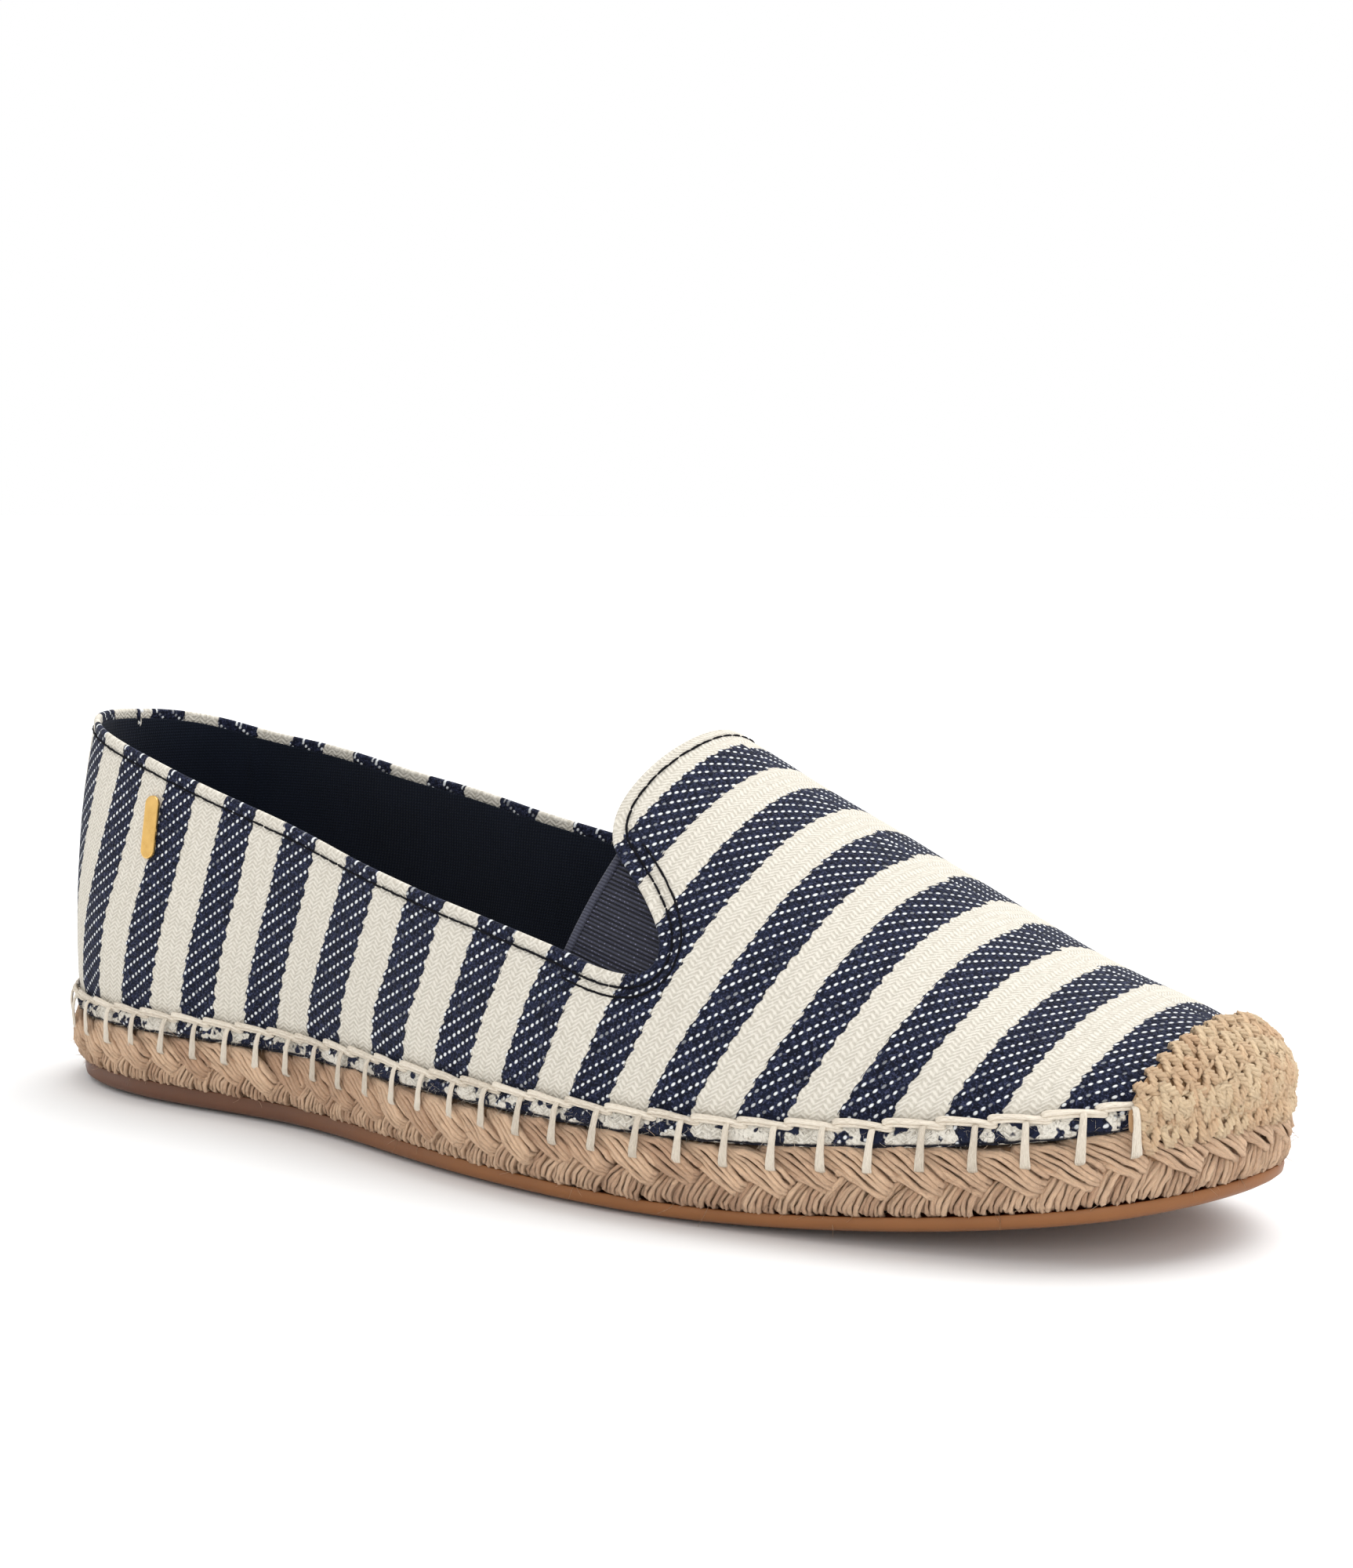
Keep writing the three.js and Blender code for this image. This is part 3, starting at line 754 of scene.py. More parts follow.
def striped_twill(name="striped twill", frayed=False):
    f = Finish(name, 0.92, Sheen_Weight=0.04, Sheen_Roughness=0.5, Specular_IOR_Level=0.15)
    twill = Twill(f)
    navy = navy_share(f, twill)
    navy_color, navy_height = navy_yarns(f, twill)
    ecru_color, ecru_height = ecru_yarns(f, twill)
    color = f.mix(navy, ecru_color, navy_color)
    height = f.plus(f.times(navy, navy_height), f.times(f.minus(1.0, navy), f.times(ecru_height, 0.9)))
    normal = f.bump(height, 0.00022, 1.0 if frayed else 0.75)
    if frayed:
        return f.finish(*frayed_look(f, twill, color, normal))
    from_stitches = f.sum("ABSOLUTE", f.minus(f.attribute("fold"), TOPSTITCH_IN / 1000))
    groove = f.ramp(from_stitches, 0.0, 0.0009)
    return f.finish(color, f.bump(groove, 0.00035, 0.8, normal))


def lining_cloth():
    f = Finish("navy lining", 0.95, Sheen_Weight=0.05, Specular_IOR_Level=0.15)
    u, v = f.uv("Cloth")
    warp, weft = (f.ramp(f.wave(f.over(side, 0.0006)), 0, 0.5) for side in (u, v))
    weave = f.times(warp, weft)
    cloud = f.noise(f.place(), 120, 3)
    tone = f.plus(f.times(weave, 0.4), f.times(cloud, 0.6))
    color = f.mix(tone, (0.003, 0.005, 0.01), (0.009, 0.013, 0.026))
    return f.finish(color, f.bump(f.plus(weave, cloud), 0.0002, 0.7))


def jute_fibre(name, light, dark, shade):
    f = Finish(name, 0.93, Sheen_Weight=0.15, Specular_IOR_Level=0.2)
    u, v = f.uv("Strand")
    fibres = f.noise(f.join(f.times(u, 0.5), f.times(v, 9.0), f.times(f.attribute("tone"), 9)), 3.2, 4, 0.7)
    hairs = f.noise(f.join(f.times(u, 0.5), f.times(v, 30.0), f.attribute("tone")), 3.0, 3, 0.8)
    cloud = f.noise(f.place(), 150, 3)
    tone = f.plus(f.plus(f.times(fibres, 0.55), f.times(f.attribute("tone"), 0.28)), f.times(cloud, 0.3))
    color = f.mix(f.ramp(tone, 0.36, 0.68), dark, light)
    color = f.mix(f.ramp(hairs, 0.52, 0.32, 0.0, 0.55), color, shade)
    return f.finish(color, f.bump(f.plus(fibres, f.times(hairs, 0.7)), 0.00035, 0.9))


def thread_finish(name, light, dark, roughness=0.5, shine=0.4):
    f = Finish(name, roughness, Specular_IOR_Level=shine)
    u, v = f.uv("Strand")
    lines = f.noise(f.join(f.times(u, 0.3), f.times(v, 8.0), f.attribute("tone")), 4.0, 3, 0.6)
    color = f.mix(f.ramp(f.plus(lines, f.times(f.attribute("tone"), 0.15)), 0.38, 0.68), dark, light)
    return f.finish(color, f.bump(lines, 0.00015, 0.8))


def rubber_finish():
    f = Finish("tan rubber", 0.5, Specular_IOR_Level=0.25, Subsurface_Weight=0.05)
    place = f.place()
    split = f.node("SeparateXYZ", {0: place})
    # Painted shade: the rubber is coloured darker toward the heel, with a ragged border, than at the front
    heel = f.ramp(f.plus(split.outputs[0], f.times(f.noise(place, 40, 2), 0.02)), -0.06, 0.03)
    cloud = f.noise(place, 90, 3)
    front = f.mix(cloud, (0.2, 0.078, 0.026), (0.28, 0.115, 0.042))
    back = f.mix(cloud, (0.1, 0.042, 0.024), (0.15, 0.066, 0.036))
    return f.finish(f.mix(heel, back, front), f.bump(f.noise(place, 1500, 3), 0.00006, 0.6),
                    f.ramp(cloud, 0.3, 0.7, 0.38, 0.55))


def elastic_finish():
    f = Finish("ribbed elastic", 0.55, Sheen_Weight=0.08, Sheen_Roughness=0.4, Specular_IOR_Level=0.3)
    along_ribs = f.uv("Cloth")[1]
    ribs = f.attribute("rib")
    selvedge = f.attribute("selvedge")
    threads = f.ramp(f.wave(f.over(along_ribs, 0.0005)), 0.05, 0.4)
    speck_and_crest_glint = f.noise(f.place(), 2500, 2)
    # Painted shade and highlight: the colour darkens in the grooves between the ribs, and the light specks
    # on the rib crests are painted glints
    dark = f.mix(f.ramp(ribs, 0.25, 0.95), (0.001, 0.001, 0.004), (0.028, 0.03, 0.052))
    dark = f.mix(f.times(f.ramp(speck_and_crest_glint, 0.55, 0.75), f.ramp(ribs, 0.6, 1.0)), dark, (0.2, 0.2, 0.3))
    color = f.mix(selvedge, dark, f.mix(threads, (0.02, 0.021, 0.036), (0.05, 0.053, 0.08)))
    return f.finish(color, f.bump(f.plus(threads, speck_and_crest_glint), 0.00012, 0.8))


def gold_finish():
    f = Finish("plain brass", 0.3, Metallic=1.0)
    cloud = f.noise(f.place(), 500, 3)
    return f.finish(f.mix(cloud, (0.62, 0.36, 0.1), (0.85, 0.56, 0.2)), f.bump(cloud, 0.00003, 0.5),
                    f.ramp(cloud, 0.3, 0.7, 0.24, 0.38))


# ---------------------------------------------------------------- what repeats along a path
class Tree:
    """A Geometry Nodes tree with named inputs."""

    def __init__(self, name, inputs):
        self.group = bpy.data.node_groups.new(name, "GeometryNodeTree")
        face = self.group.interface
        face.new_socket("Geometry", in_out="INPUT", socket_type="NodeSocketGeometry")
        for key, kind in inputs.items():
            face.new_socket(key, in_out="INPUT", socket_type="NodeSocket" + kind)
        face.new_socket("Geometry", in_out="OUTPUT", socket_type="NodeSocketGeometry")
        self.inputs = self.group.nodes.new("NodeGroupInput").outputs
        self.result = self.group.nodes.new("NodeGroupOutput").inputs[0]

    def node(self, kind, inputs=(), **settings):
        made = self.group.nodes.new(kind)
        for key, value in settings.items():
            setattr(made, key, value)
        for key, value in dict(inputs).items():
            self.feed(made.inputs[key], value)
        return made

    def feed(self, socket, value):
        if isinstance(value, bpy.types.NodeSocket):
            self.group.links.new(value, socket)
        else:
            socket.default_value = value

    def math(self, operation, *values):
        made = self.node("ShaderNodeMath", operation=operation)
        for socket, value in zip(made.inputs, values):
            self.feed(socket, value)
        return made.outputs[0]

    def vector(self, operation, *values):
        made = self.node("ShaderNodeVectorMath", operation=operation)
        for socket, value in zip(made.inputs, values):
            self.feed(socket, value)
        return made.outputs[0]

    def scaled(self, vector, factor):
        made = self.node("ShaderNodeVectorMath", {0: vector, "Scale": factor}, operation="SCALE")
        return made.outputs[0]

    def random(self, kind, low, high, seed):
        made = self.node("FunctionNodeRandomValue", data_type=kind)
        for name, value in (("Min", low), ("Max", high), ("Seed", seed)):
            self.feed(self.used(made.inputs, name), value)
        return self.used(made.outputs, "Value")

    def used(self, sockets, name):
        """The one socket of a name that the node's data type uses."""
        return [s for s in sockets if s.enabled and s.name == name][0]

    def sampled(self, curve, name, length):
        """A node that reads a direction of the path at a length along it."""
        value = self.node("GeometryNodeInputNamedAttribute", {"Name": name}, data_type="FLOAT_VECTOR")
        made = self.node("GeometryNodeSampleCurve", {"Curves": curve}, mode="LENGTH",
                         data_type="FLOAT_VECTOR", use_all_curves=True)
        self.feed(self.used(made.inputs, "Value"), value.outputs[0])
        self.feed(self.used(made.inputs, "Length"), length)
        return made

    def toned(self, copies):
        """The copies, each with a random tone for its material."""
        seed = self.math("ADD", self.inputs["Seed"], 3)
        stored = self.node("GeometryNodeStoreNamedAttribute", {
            "Geometry": copies.outputs[0], "Name": "tone", "Value": self.random("FLOAT", 0.0, 1.0, seed),
        }, data_type="FLOAT", domain="INSTANCE")
        return stored.outputs[0]

    def painted(self, last):
        """Ends the tree with its material."""
        painted = self.node("GeometryNodeSetMaterial", {
            "Geometry": last.outputs[0], "Material": self.inputs["Material"],
        })
        self.feed(self.result, painted.outputs[0])
        return self.group

    def split(self, vector):
        return self.node("ShaderNodeSeparateXYZ", {0: vector}).outputs

    def join(self, x, y, z):
        return self.node("ShaderNodeCombineXYZ", {0: x, 1: y, 2: z}).outputs[0]


def varied_row(t):
    """Copies of the unit in a row along X, each shifted, turned and sized a little differently."""
    i = t.inputs
    row = t.node("GeometryNodeMeshLine", {
        "Count": i["Count"], "Start Location": t.join(i["Start"], 0.0, 0.0),
        "Offset": t.join(i["Pitch"], 0.0, 0.0),
    })
    shift = t.random("FLOAT_VECTOR", (-1, -0.3, -0.5), (1, 0.3, 0.5), i["Seed"])
    slide = t.node("GeometryNodeSetPosition", {
        "Geometry": row.outputs[0], "Offset": t.scaled(shift, i["Slide"]),
    })
    turn = t.random("FLOAT_VECTOR", (-1, -1, -1), (1, 1, 1), t.math("ADD", i["Seed"], 1))
    grow = t.math("MULTIPLY", i["Size"], t.random("FLOAT", -1.0, 1.0, t.math("ADD", i["Seed"], 2)))
    copies = t.node("GeometryNodeInstanceOnPoints", {
        "Points": slide.outputs[0], "Instance": i["Geometry"],
        "Rotation": t.scaled(turn, i["Turn"]), "Scale": t.math("ADD", 1.0, grow),
    })
    return t.toned(copies)


def crumpled(t):
    """The points' places, with a little noise."""
    place = t.node("GeometryNodeInputPosition").outputs[0]
    crumple = t.node("ShaderNodeTexNoise", {
        "Vector": place, "Scale": t.math("DIVIDE", 1.0, t.inputs["Rough Size"]), "Detail": 1.0,
    })
    centred = t.vector("SUBTRACT", crumple.outputs["Color"], (0.5, 0.5, 0.5))
    return t.vector("ADD", place, t.scaled(centred, t.inputs["Rough"]))


def laid_on_path(t, places):
    """Places along X, outward and upward taken to the path; past its end they start again."""
    along, outward, upward = t.split(places)
    path = t.node("GeometryNodeObjectInfo", {"Object": t.inputs["Path"]})
    curve = t.node("GeometryNodeMeshToCurve", {"Mesh": path.outputs["Geometry"]}).outputs[0]
    length = t.node("GeometryNodeCurveLength", {"Curve": curve}).outputs[0]
    rounds = t.math("FLOOR", t.math("DIVIDE", along, length))
    wrapped = t.math("SUBTRACT", along, t.math("MULTIPLY", length, rounds))
    out_sample, up_sample = (t.sampled(curve, name, wrapped) for name in ("outward", "upward"))
    shift = t.vector("ADD", t.scaled(t.used(out_sample.outputs, "Value"), outward),
                     t.scaled(t.used(up_sample.outputs, "Value"), upward))
    return t.vector("ADD", out_sample.outputs["Position"], shift)


def path_tree():
    """Copies of a unit in a row, then laid on a path, whose points carry the directions that
    Y (outward) and Z (upward) take there."""
    t = Tree("along a path", {
        "Path": "Object", "Count": "Int", "Start": "Float", "Pitch": "Float", "Turn": "Float",
        "Size": "Float", "Slide": "Float", "Rough": "Float", "Rough Size": "Float", "Seed": "Int",
        "Material": "Material",
    })
    real = t.node("GeometryNodeRealizeInstances", {"Geometry": varied_row(t)})
    laid = laid_on_path(t, crumpled(t))
    moved = t.node("GeometryNodeSetPosition", {"Geometry": real.outputs[0], "Position": laid})
    return t.painted(moved)


def hair_tree():
    """Small curled hairs, scattered over a surface and leaning every way."""
    t = Tree("loose fibres", {"Hair": "Object", "Density": "Float", "Size": "Float", "Lean": "Float",
                              "Seed": "Int", "Material": "Material"})
    i = t.inputs
    spots = t.node("GeometryNodeDistributePointsOnFaces",
                   {"Mesh": i["Geometry"], "Density": i["Density"], "Seed": i["Seed"]})
    hair = t.node("GeometryNodeObjectInfo", {"Object": i["Hair"]}).outputs["Geometry"]
    lean = t.random("FLOAT_VECTOR", (-1, -1, -4), (1, 1, 4), t.math("ADD", i["Seed"], 1))
    turn_by = t.node("FunctionNodeEulerToRotation", {0: t.scaled(lean, i["Lean"])})
    turn = t.node("FunctionNodeRotateRotation", {
        "Rotation": spots.outputs["Rotation"], "Rotate By": turn_by.outputs[0],
    }, rotation_space="LOCAL")
    size = t.math("MULTIPLY", i["Size"], t.random("FLOAT", 0.35, 1.0, t.math("ADD", i["Seed"], 2)))
    copies = t.node("GeometryNodeInstanceOnPoints", {
        "Points": spots.outputs["Points"], "Instance": hair, "Rotation": turn.outputs[0], "Scale": size,
    })
    return t.painted(t.node("GeometryNodeRealizeInstances", {"Geometry": t.toned(copies)}))


def grown(name, source, tree, **values):
    """The plain mesh that a tree makes from a source mesh."""
    holder = bpy.data.objects.new(name + " maker", source)
    bpy.context.collection.objects.link(holder)
    modifier = holder.modifiers.new("maker", "NODES")
    modifier.node_group = tree
    sockets = {s.name: s.identifier for s in tree.interface.items_tree if s.in_out == "INPUT"}
    for key, value in values.items():
        modifier[sockets[key.replace("_", " ")]] = value
    graph = bpy.context.evaluated_depsgraph_get()
    mesh = bpy.data.meshes.new_from_object(holder.evaluated_get(graph), depsgraph=graph)
    mesh.name = name
    holder.modifiers.remove(modifier)
    bpy.data.objects.remove(holder)
    return mesh


def path_object(points, outward, upward):
    """A path for the tree, from evenly spaced points in mm, with the directions there."""
    mesh = bpy.data.meshes.new("path")
    mesh.from_pydata(in_frame(points).tolist(), [(k, k + 1) for k in range(len(points) - 1)], [])
    for name, value in (("outward", outward), ("upward", upward)):
        mesh.attributes.new(name, "FLOAT_VECTOR", "POINT").data.foreach_set("vector", unit(value).ravel())
    made = bpy.data.objects.new("path", mesh)
    bpy.context.collection.objects.link(made)
    return made


def run_length(points):
    return float(np.linalg.norm(np.diff(points, axis=0), axis=1).sum())


def joined(name, meshes, replaces=()):
    """One piece from plain meshes."""
    build = bmesh.new()
    for mesh in meshes:
        build.from_mesh(mesh)
    whole = bpy.data.meshes.new(name)
    build.to_mesh(whole)
    build.free()
    for material in dict.fromkeys(m for mesh in meshes for m in mesh.materials):
        whole.materials.append(material)
    whole.polygons.foreach_set("use_smooth", [True] * len(whole.polygons))
    return place_piece(name, whole, replaces)


def strand_mesh(strands, sides=6):
    """A unit of tubes in mm: each strand is a list of points with radii, its ends closed."""
    points, faces, uvs = [], [], []
    for number, (line, radii) in enumerate(strands):
        line = np.array(line, float)
        along = unit(np.gradient(line, axis=0))
        across = unit(np.cross(along, (0.31, 0.87, 0.29)))
        other = np.cross(along, across)
        run = np.r_[0, np.cumsum(np.linalg.norm(np.diff(line, axis=0), axis=1))]
        base = len(points)
        for k, p in enumerate(line):
            for j in range(sides):
                angle = 2 * math.pi * j / sides
                points.append(p + radii[k] * (across[k] * math.cos(angle) + other[k] * math.sin(angle)))
        for k in range(len(line) - 1):
            for j in range(sides):
                a, b = base + k * sides + j, base + k * sides + (j + 1) % sides
                faces.append((a, b, b + sides, a + sides))
                v, w = j / sides + number * 0.37, (j + 1) / sides + number * 0.37
                uvs += [(run[k], v), (run[k], w), (run[k + 1], w), (run[k + 1], v)]
        end = base + (len(line) - 1) * sides
        faces.append(tuple(base + j for j in reversed(range(sides))))
        faces.append(tuple(end + j for j in range(sides)))
        uvs += [(run[0], number * 0.37)] * sides + [(run[-1], number * 0.37)] * sides
    mesh = bpy.data.meshes.new("unit")
    mesh.from_pydata((np.array(points) / 1000).tolist(), [], faces)
    mesh.uv_layers.new(name="Strand").data.foreach_set("uv", np.array(uvs).ravel())
    mesh.polygons.foreach_set("use_smooth", [True] * len(faces))
    return mesh


def bundle(line, radii, plies, ply_radius, twist, phase=0.0):
    """Plies that twist round a line: the line's points, the bundle's radius at each, mm."""
    line = np.array(line, float)
    along = unit(np.gradient(line, axis=0))
    across = unit(np.cross(along, (0.2, 0.95, 0.2)))
    other = np.cross(along, across)
    run = np.r_[0, np.cumsum(np.linalg.norm(np.diff(line, axis=0), axis=1))]
    radii = np.asarray(radii, float)
    strands = []
    for ply in range(plies):
        angle = (phase + 2 * math.pi * ply / plies + twist * run)[:, None]
        offset = (across * np.cos(angle) + other * np.sin(angle)) * radii[:, None]
        strands.append((line + offset, ply_radius * (0.35 + 0.65 * radii / radii.max())))
    return strands


def bend(knots, count):
    """A smooth line through a few knots."""
    knots = np.array(knots, float)
    key = np.linspace(0, 1, len(knots))
    at = np.linspace(0, 1, count)
    return np.column_stack([
        between(np.column_stack([key, knots[:, k]]), 1, at) for k in range(knots.shape[1])
    ])


# ---------------------------------------------------------------- the upper
COLUMNS, ROWS = 420, 84


def rolled_edge(outer, normals, inner, rim):
    """Ring after ring of points over the fold from the outer skin to the inner one."""
    edge, n = outer[rim], unit(blur(normals[rim], 2))
    along = unit(np.roll(edge, -1, 0) - np.roll(edge, 1, 0))
    away = unit(blur(unit(np.cross(along, n)), 3))
    middle = (edge + inner[rim]) / 2
    radius = np.linalg.norm(edge - inner[rim], axis=1, keepdims=True) / 2
    rings = []
    for angle in np.linspace(0, math.pi, 8)[1:-1]:
        rings.append(middle + radius * (n * math.cos(angle) + away * math.sin(angle)))
    return rings


def shell(sheet, outer, normals, thickness, uv, round_rims):
    """Two skins of a sheet, joined over its open edges."""
    n = len(outer)
    inner = outer - normals * thickness
    points = [outer, inner]
    faces = [sheet.triangles, sheet.triangles[:, ::-1] + n]
    corners = [uv[sheet.faces], uv[sheet.faces][:, ::-1]]
    uv_of = np.zeros((n, 2))
    uv_of[sheet.weld] = uv
    base = 2 * n
    for rim in sheet.rims():
        rings = [rim]
        is_throat = outer[rim][:, 2].max() > FEATHER_Z + 20
        if round_rims and is_throat:
            for ring in rolled_edge(outer, normals, inner, rim):
                points.append(ring)
                rings.append(base + np.arange(len(rim)))
                base += len(rim)
        rings.append(rim + n)
        for a, b in zip(rings, rings[1:]):
            a2, b2 = np.roll(a, -1), np.roll(b, -1)
            quads = np.stack([a2, a, b, b2], -1)
            faces.append(quads)
            u = uv_of[rim]
            u2 = np.roll(u, -1, 0)
            jump = np.abs(u2 - u).max(axis=1) > 8
            u2 = np.where(jump[:, None], u, u2)
            corners.append(np.stack([u2, u, u, u2], 1))
    return np.vstack(points), [f for group in faces for f in group], np.concatenate(
        [c.reshape(-1, 2) for c in corners])


def cloth_uv(sheet):
    return cloth_place(sheet.st[:, 0], sheet.st[:, 1], last_at(*sheet.st.T))


def canvas_relief(sheet, fold, rise):
    """How far the canvas stands off the last: puckers at the stitches, slack, seams and the fold."""
    arc = sheet.st[sheet.place, 0] * EDGE_HALF
    pucker = np.cos(2 * math.pi * arc / STITCH_PITCH) * np.exp(-(((rise - 6) / 4) ** 2)) * 0.16
    drawn_in = -0.35 * np.exp(-(((rise - CHAIN_RISE) / 1.3) ** 2))
    slack = 0.28 * value_noise(sheet.points, 23.0, 3) + 0.12 * value_noise(sheet.points, 9.0, 4)
    quiet = smooth(rise, 1, 8) * smooth(fold, 0, 6)
    stitched = -0.16 * np.exp(-(((fold - TOPSTITCH_IN) / 0.9) ** 2)) + 0.12 * np.exp(-((fold / 1.0) ** 2))
    back_seam = -0.4 * np.exp(-((np.minimum(arc, 2 * EDGE_HALF - arc) / 0.7) ** 2)) * smooth(rise, 4, 7)
    return pucker + drawn_in + slack * quiet + stitched + back_seam


def make_canvas(material):
    sheet = Sheet(np.linspace(0, 2, COLUMNS + 1), np.linspace(0, 1, ROWS + 1), below_fold)
    fold = below_fold(sheet.points)
    rise = rise_over_foot(sheet.points)
    relief = canvas_relief(sheet, fold, rise)
    outer = sheet.points + sheet.normals * relief[:, None]
    thickness = CLOTH + relief * smooth(fold, 2, 6)
    points, faces, corners = shell(sheet, outer, sheet.normals, thickness[:, None], cloth_uv(sheet), True)
    extra = len(points) - 2 * len(outer)
    layers = {
        "fold": np.r_[fold, fold, np.zeros(extra)] / 1000,
        "rise": np.r_[rise, rise, np.full(extra, 40.0)] / 1000,
    }
    new_piece("upper_canvas", points, faces, material, ("upper",), corners, layers)


def make_lining(material):
    def field(points):
        return below_fold(points) - LINING_DROP

    sheet = Sheet(np.linspace(0, 2, 361), np.linspace(0, 1, 49), field)
    fold = field(sheet.points)
    slack = 0.12 * value_noise(sheet.points, 17.0, 8) * smooth(fold, 1, 8)
    from_seam = np.abs(sheet.points[:, 0] - LINING_SEAM - 0.04 * (sheet.points[:, 2] - 50))
    seam = 0.9 * np.exp(-((from_seam / 0.8) ** 2)) * smooth(fold, 0, 3)
    depth = CLOTH - 0.25 + 0.5 * smooth(fold, 0.3, 4) - slack + seam
    outer = sheet.points - sheet.normals * depth[:, None]
    points, faces, corners = shell(sheet, outer, sheet.normals, LINING, cloth_uv(sheet), True)
    new_piece("upper_lining", points, faces, material, (), corners)


# ---------------------------------------------------------------- the sole
HAIRS = []  # the hairs that stand ready for the tree; main() clears them away


def hair_object(length, radius, curl):
    """One curled hair for the tree of loose fibres, mm."""
    line = bend([(0, 0, -0.2), (curl * 0.3, 0, length * 0.35), (curl, curl * 0.4, length * 0.7),
                 (curl * 2.2, curl, length)], 5)
    mesh = strand_mesh([(line, np.array([1, 1, 0.9, 0.7, 0.3]) * radius)], 3)
    made = bpy.data.objects.new("hair", mesh)
    bpy.context.collection.objects.link(made)
    HAIRS.append(made)
    return made


def edge_path(height, inset, start=0.0, end=2.0, count=900):
    """A path round the sole, from place start to place end: inset from its edge, at a height
    over the floor that the toe spring adds to."""
    fine = np.linspace(start, end, 4 * count)
    flat = EDGE.at(fine) - EDGE.out(fine) * inset
    run = np.r_[0, np.cumsum(np.linalg.norm(np.diff(flat, axis=0), axis=1))]
    s = np.interp(np.linspace(0, run[-1], count + 1), run, fine)
    flat, out = EDGE.at(s) - EDGE.out(s) * inset, EDGE.out(s)
    points = np.column_stack([flat, height + toe_spring(flat[:, 0])])
    outward = np.column_stack([out, np.zeros(len(out))])
    slope = (toe_spring(flat[:, 0] + 0.5) - toe_spring(flat[:, 0] - 0.5))
    upward = np.column_stack([-slope, np.zeros(len(slope)), np.ones(len(slope))])
    return points, outward, upward


def on_path(name, unit_mesh, path, material, pitch=None, count=None, seed=1, start=0.0, turn=0.0,
            size=0.0, slide=0.0, rough=0.0, rough_size=2.0):
    """The unit repeated along a path; a pitch is stretched so that it fits a whole number of times."""
    points, outward, upward = path
    length = run_length(points) - start
    count = count or max(1, round(length / pitch))
    line = path_object(points, outward, upward)
    mesh = grown(name, unit_mesh, PATH_TREE, Path=line, Count=count, Start=start / 1000,
                 Pitch=length / count / 1000, Turn=turn, Size=size, Slide=slide / 1000,
                 Rough=rough / 1000, Rough_Size=rough_size / 1000, Seed=seed, Material=material)
    bpy.data.objects.remove(line)
    return mesh


def upper_strand_unit():
    """One fat yarn of the braid's upper tier: it leans down to the front over the next one's start."""
    spread = np.random.default_rng(5)
    strands, steps = [], 13
    share = np.linspace(0, 1, steps)
    path = bend([(-6.6, -1.9, 10.5), (-4.4, -0.5, 10.2), (-0.8, 0.2, 8.8), (2.8, 0.75, 6.9),
                 (5.3, 0.7, 5.3), (6.4, -0.2, 4.6), (6.6, -1.9, 4.5)], steps)
    width = np.interp(share, [0, 0.2, 0.55, 0.8, 1], [1.5, 2.1, 2.2, 1.9, 1.0])
    depth = np.interp(share, [0, 0.2, 0.55, 0.8, 1], [0.7, 0.9, 1.1, 1.0, 0.6])
    across = np.array([0.45, 0.0, 0.89])
    for k in range(12):
        angle = 2 * math.pi * k / 12 + 1.5 * share + spread.uniform(-0.1, 0.1)
        line = path + across * (np.cos(angle) * width)[:, None]
        line = line + np.array([0, 1, 0]) * (np.sin(angle) * depth)[:, None]
        line = line + np.sin(share * spread.uniform(4, 8) + k * 2.1)[:, None] * (0.2, 0.16, 0.2)
        radius = spread.uniform(0.46, 0.66) * np.interp(share, [0, 0.1, 0.85, 1], [0.8, 1, 1, 0.6])
        line[:, 2] = np.minimum(line[:, 2], 10.2)
        strands.append((line, radius))
    return strand_mesh(strands, 5)


def lower_strand_unit():
    """One strand of the lower tier: it stands on the rubber and leans to the front above."""
    spread = np.random.default_rng(9)
    strands = []
    path = bend([(-2.2, -2.2, -0.1), (-2.1, -0.6, 0.45), (-1.3, 0.15, 2.0), (0.5, 0.1, 4.1),
                 (2.6, -0.8, 6.0), (3.4, -2.0, 6.8)], 10)
    for k in range(5):
        angle = 2 * math.pi * k / 5 + np.linspace(0, 1.6, 10)
        wave = np.sin(np.linspace(0, 5, 10) + k * 1.7)[:, None] * (0.08, 0.1, 0.06)
        line = path + np.array([0.85, 0, -0.4]) * (np.cos(angle) * 0.85)[:, None]
        line = line + np.array([0, 1, 0]) * (np.sin(angle) * 0.55)[:, None] + wave
        radius = spread.uniform(0.36, 0.48) * np.interp(np.linspace(0, 1, 10), [0, 0.15, 1], [0.9, 1, 0.8])
        strands.append((line, radius))
    return strand_mesh(strands, 5)


def layer_rings(rows, underside, count=360):
    """Rings round the sole from rows of (height, inset) in mm above an underside."""
    s = np.linspace(0, 2, count, endpoint=False)
    rings = []
    for height, inset in rows:
        flat = EDGE.at(s) - EDGE.out(s) * inset
        rings.append(np.column_stack([flat, underside + height + toe_spring(flat[:, 0])]))
    return rings


def lofted(rings):
    """Points and outward faces of rings that run counter-clockwise, lowest first, both ends closed."""
    n = len(rings[0])
    faces = []
    for j in range(len(rings) - 1):
        for i in range(n):
            a, b = j * n + i, j * n + (i + 1) % n
            faces.append((a, b, b + n, a + n))
    top = (len(rings) - 1) * n
    for i in range(n // 2):
        ends = (i, i + 1, n - i - 1, (n - i) % n)
        if i == 0:
            ends = (0, 1, n - 1)
        elif i + 1 == n - i - 1:
            ends = (i, i + 1, n - i)
        faces.append(tuple(reversed(ends)))
        faces.append(tuple(top + k for k in ends))
    return np.vstack(rings), faces


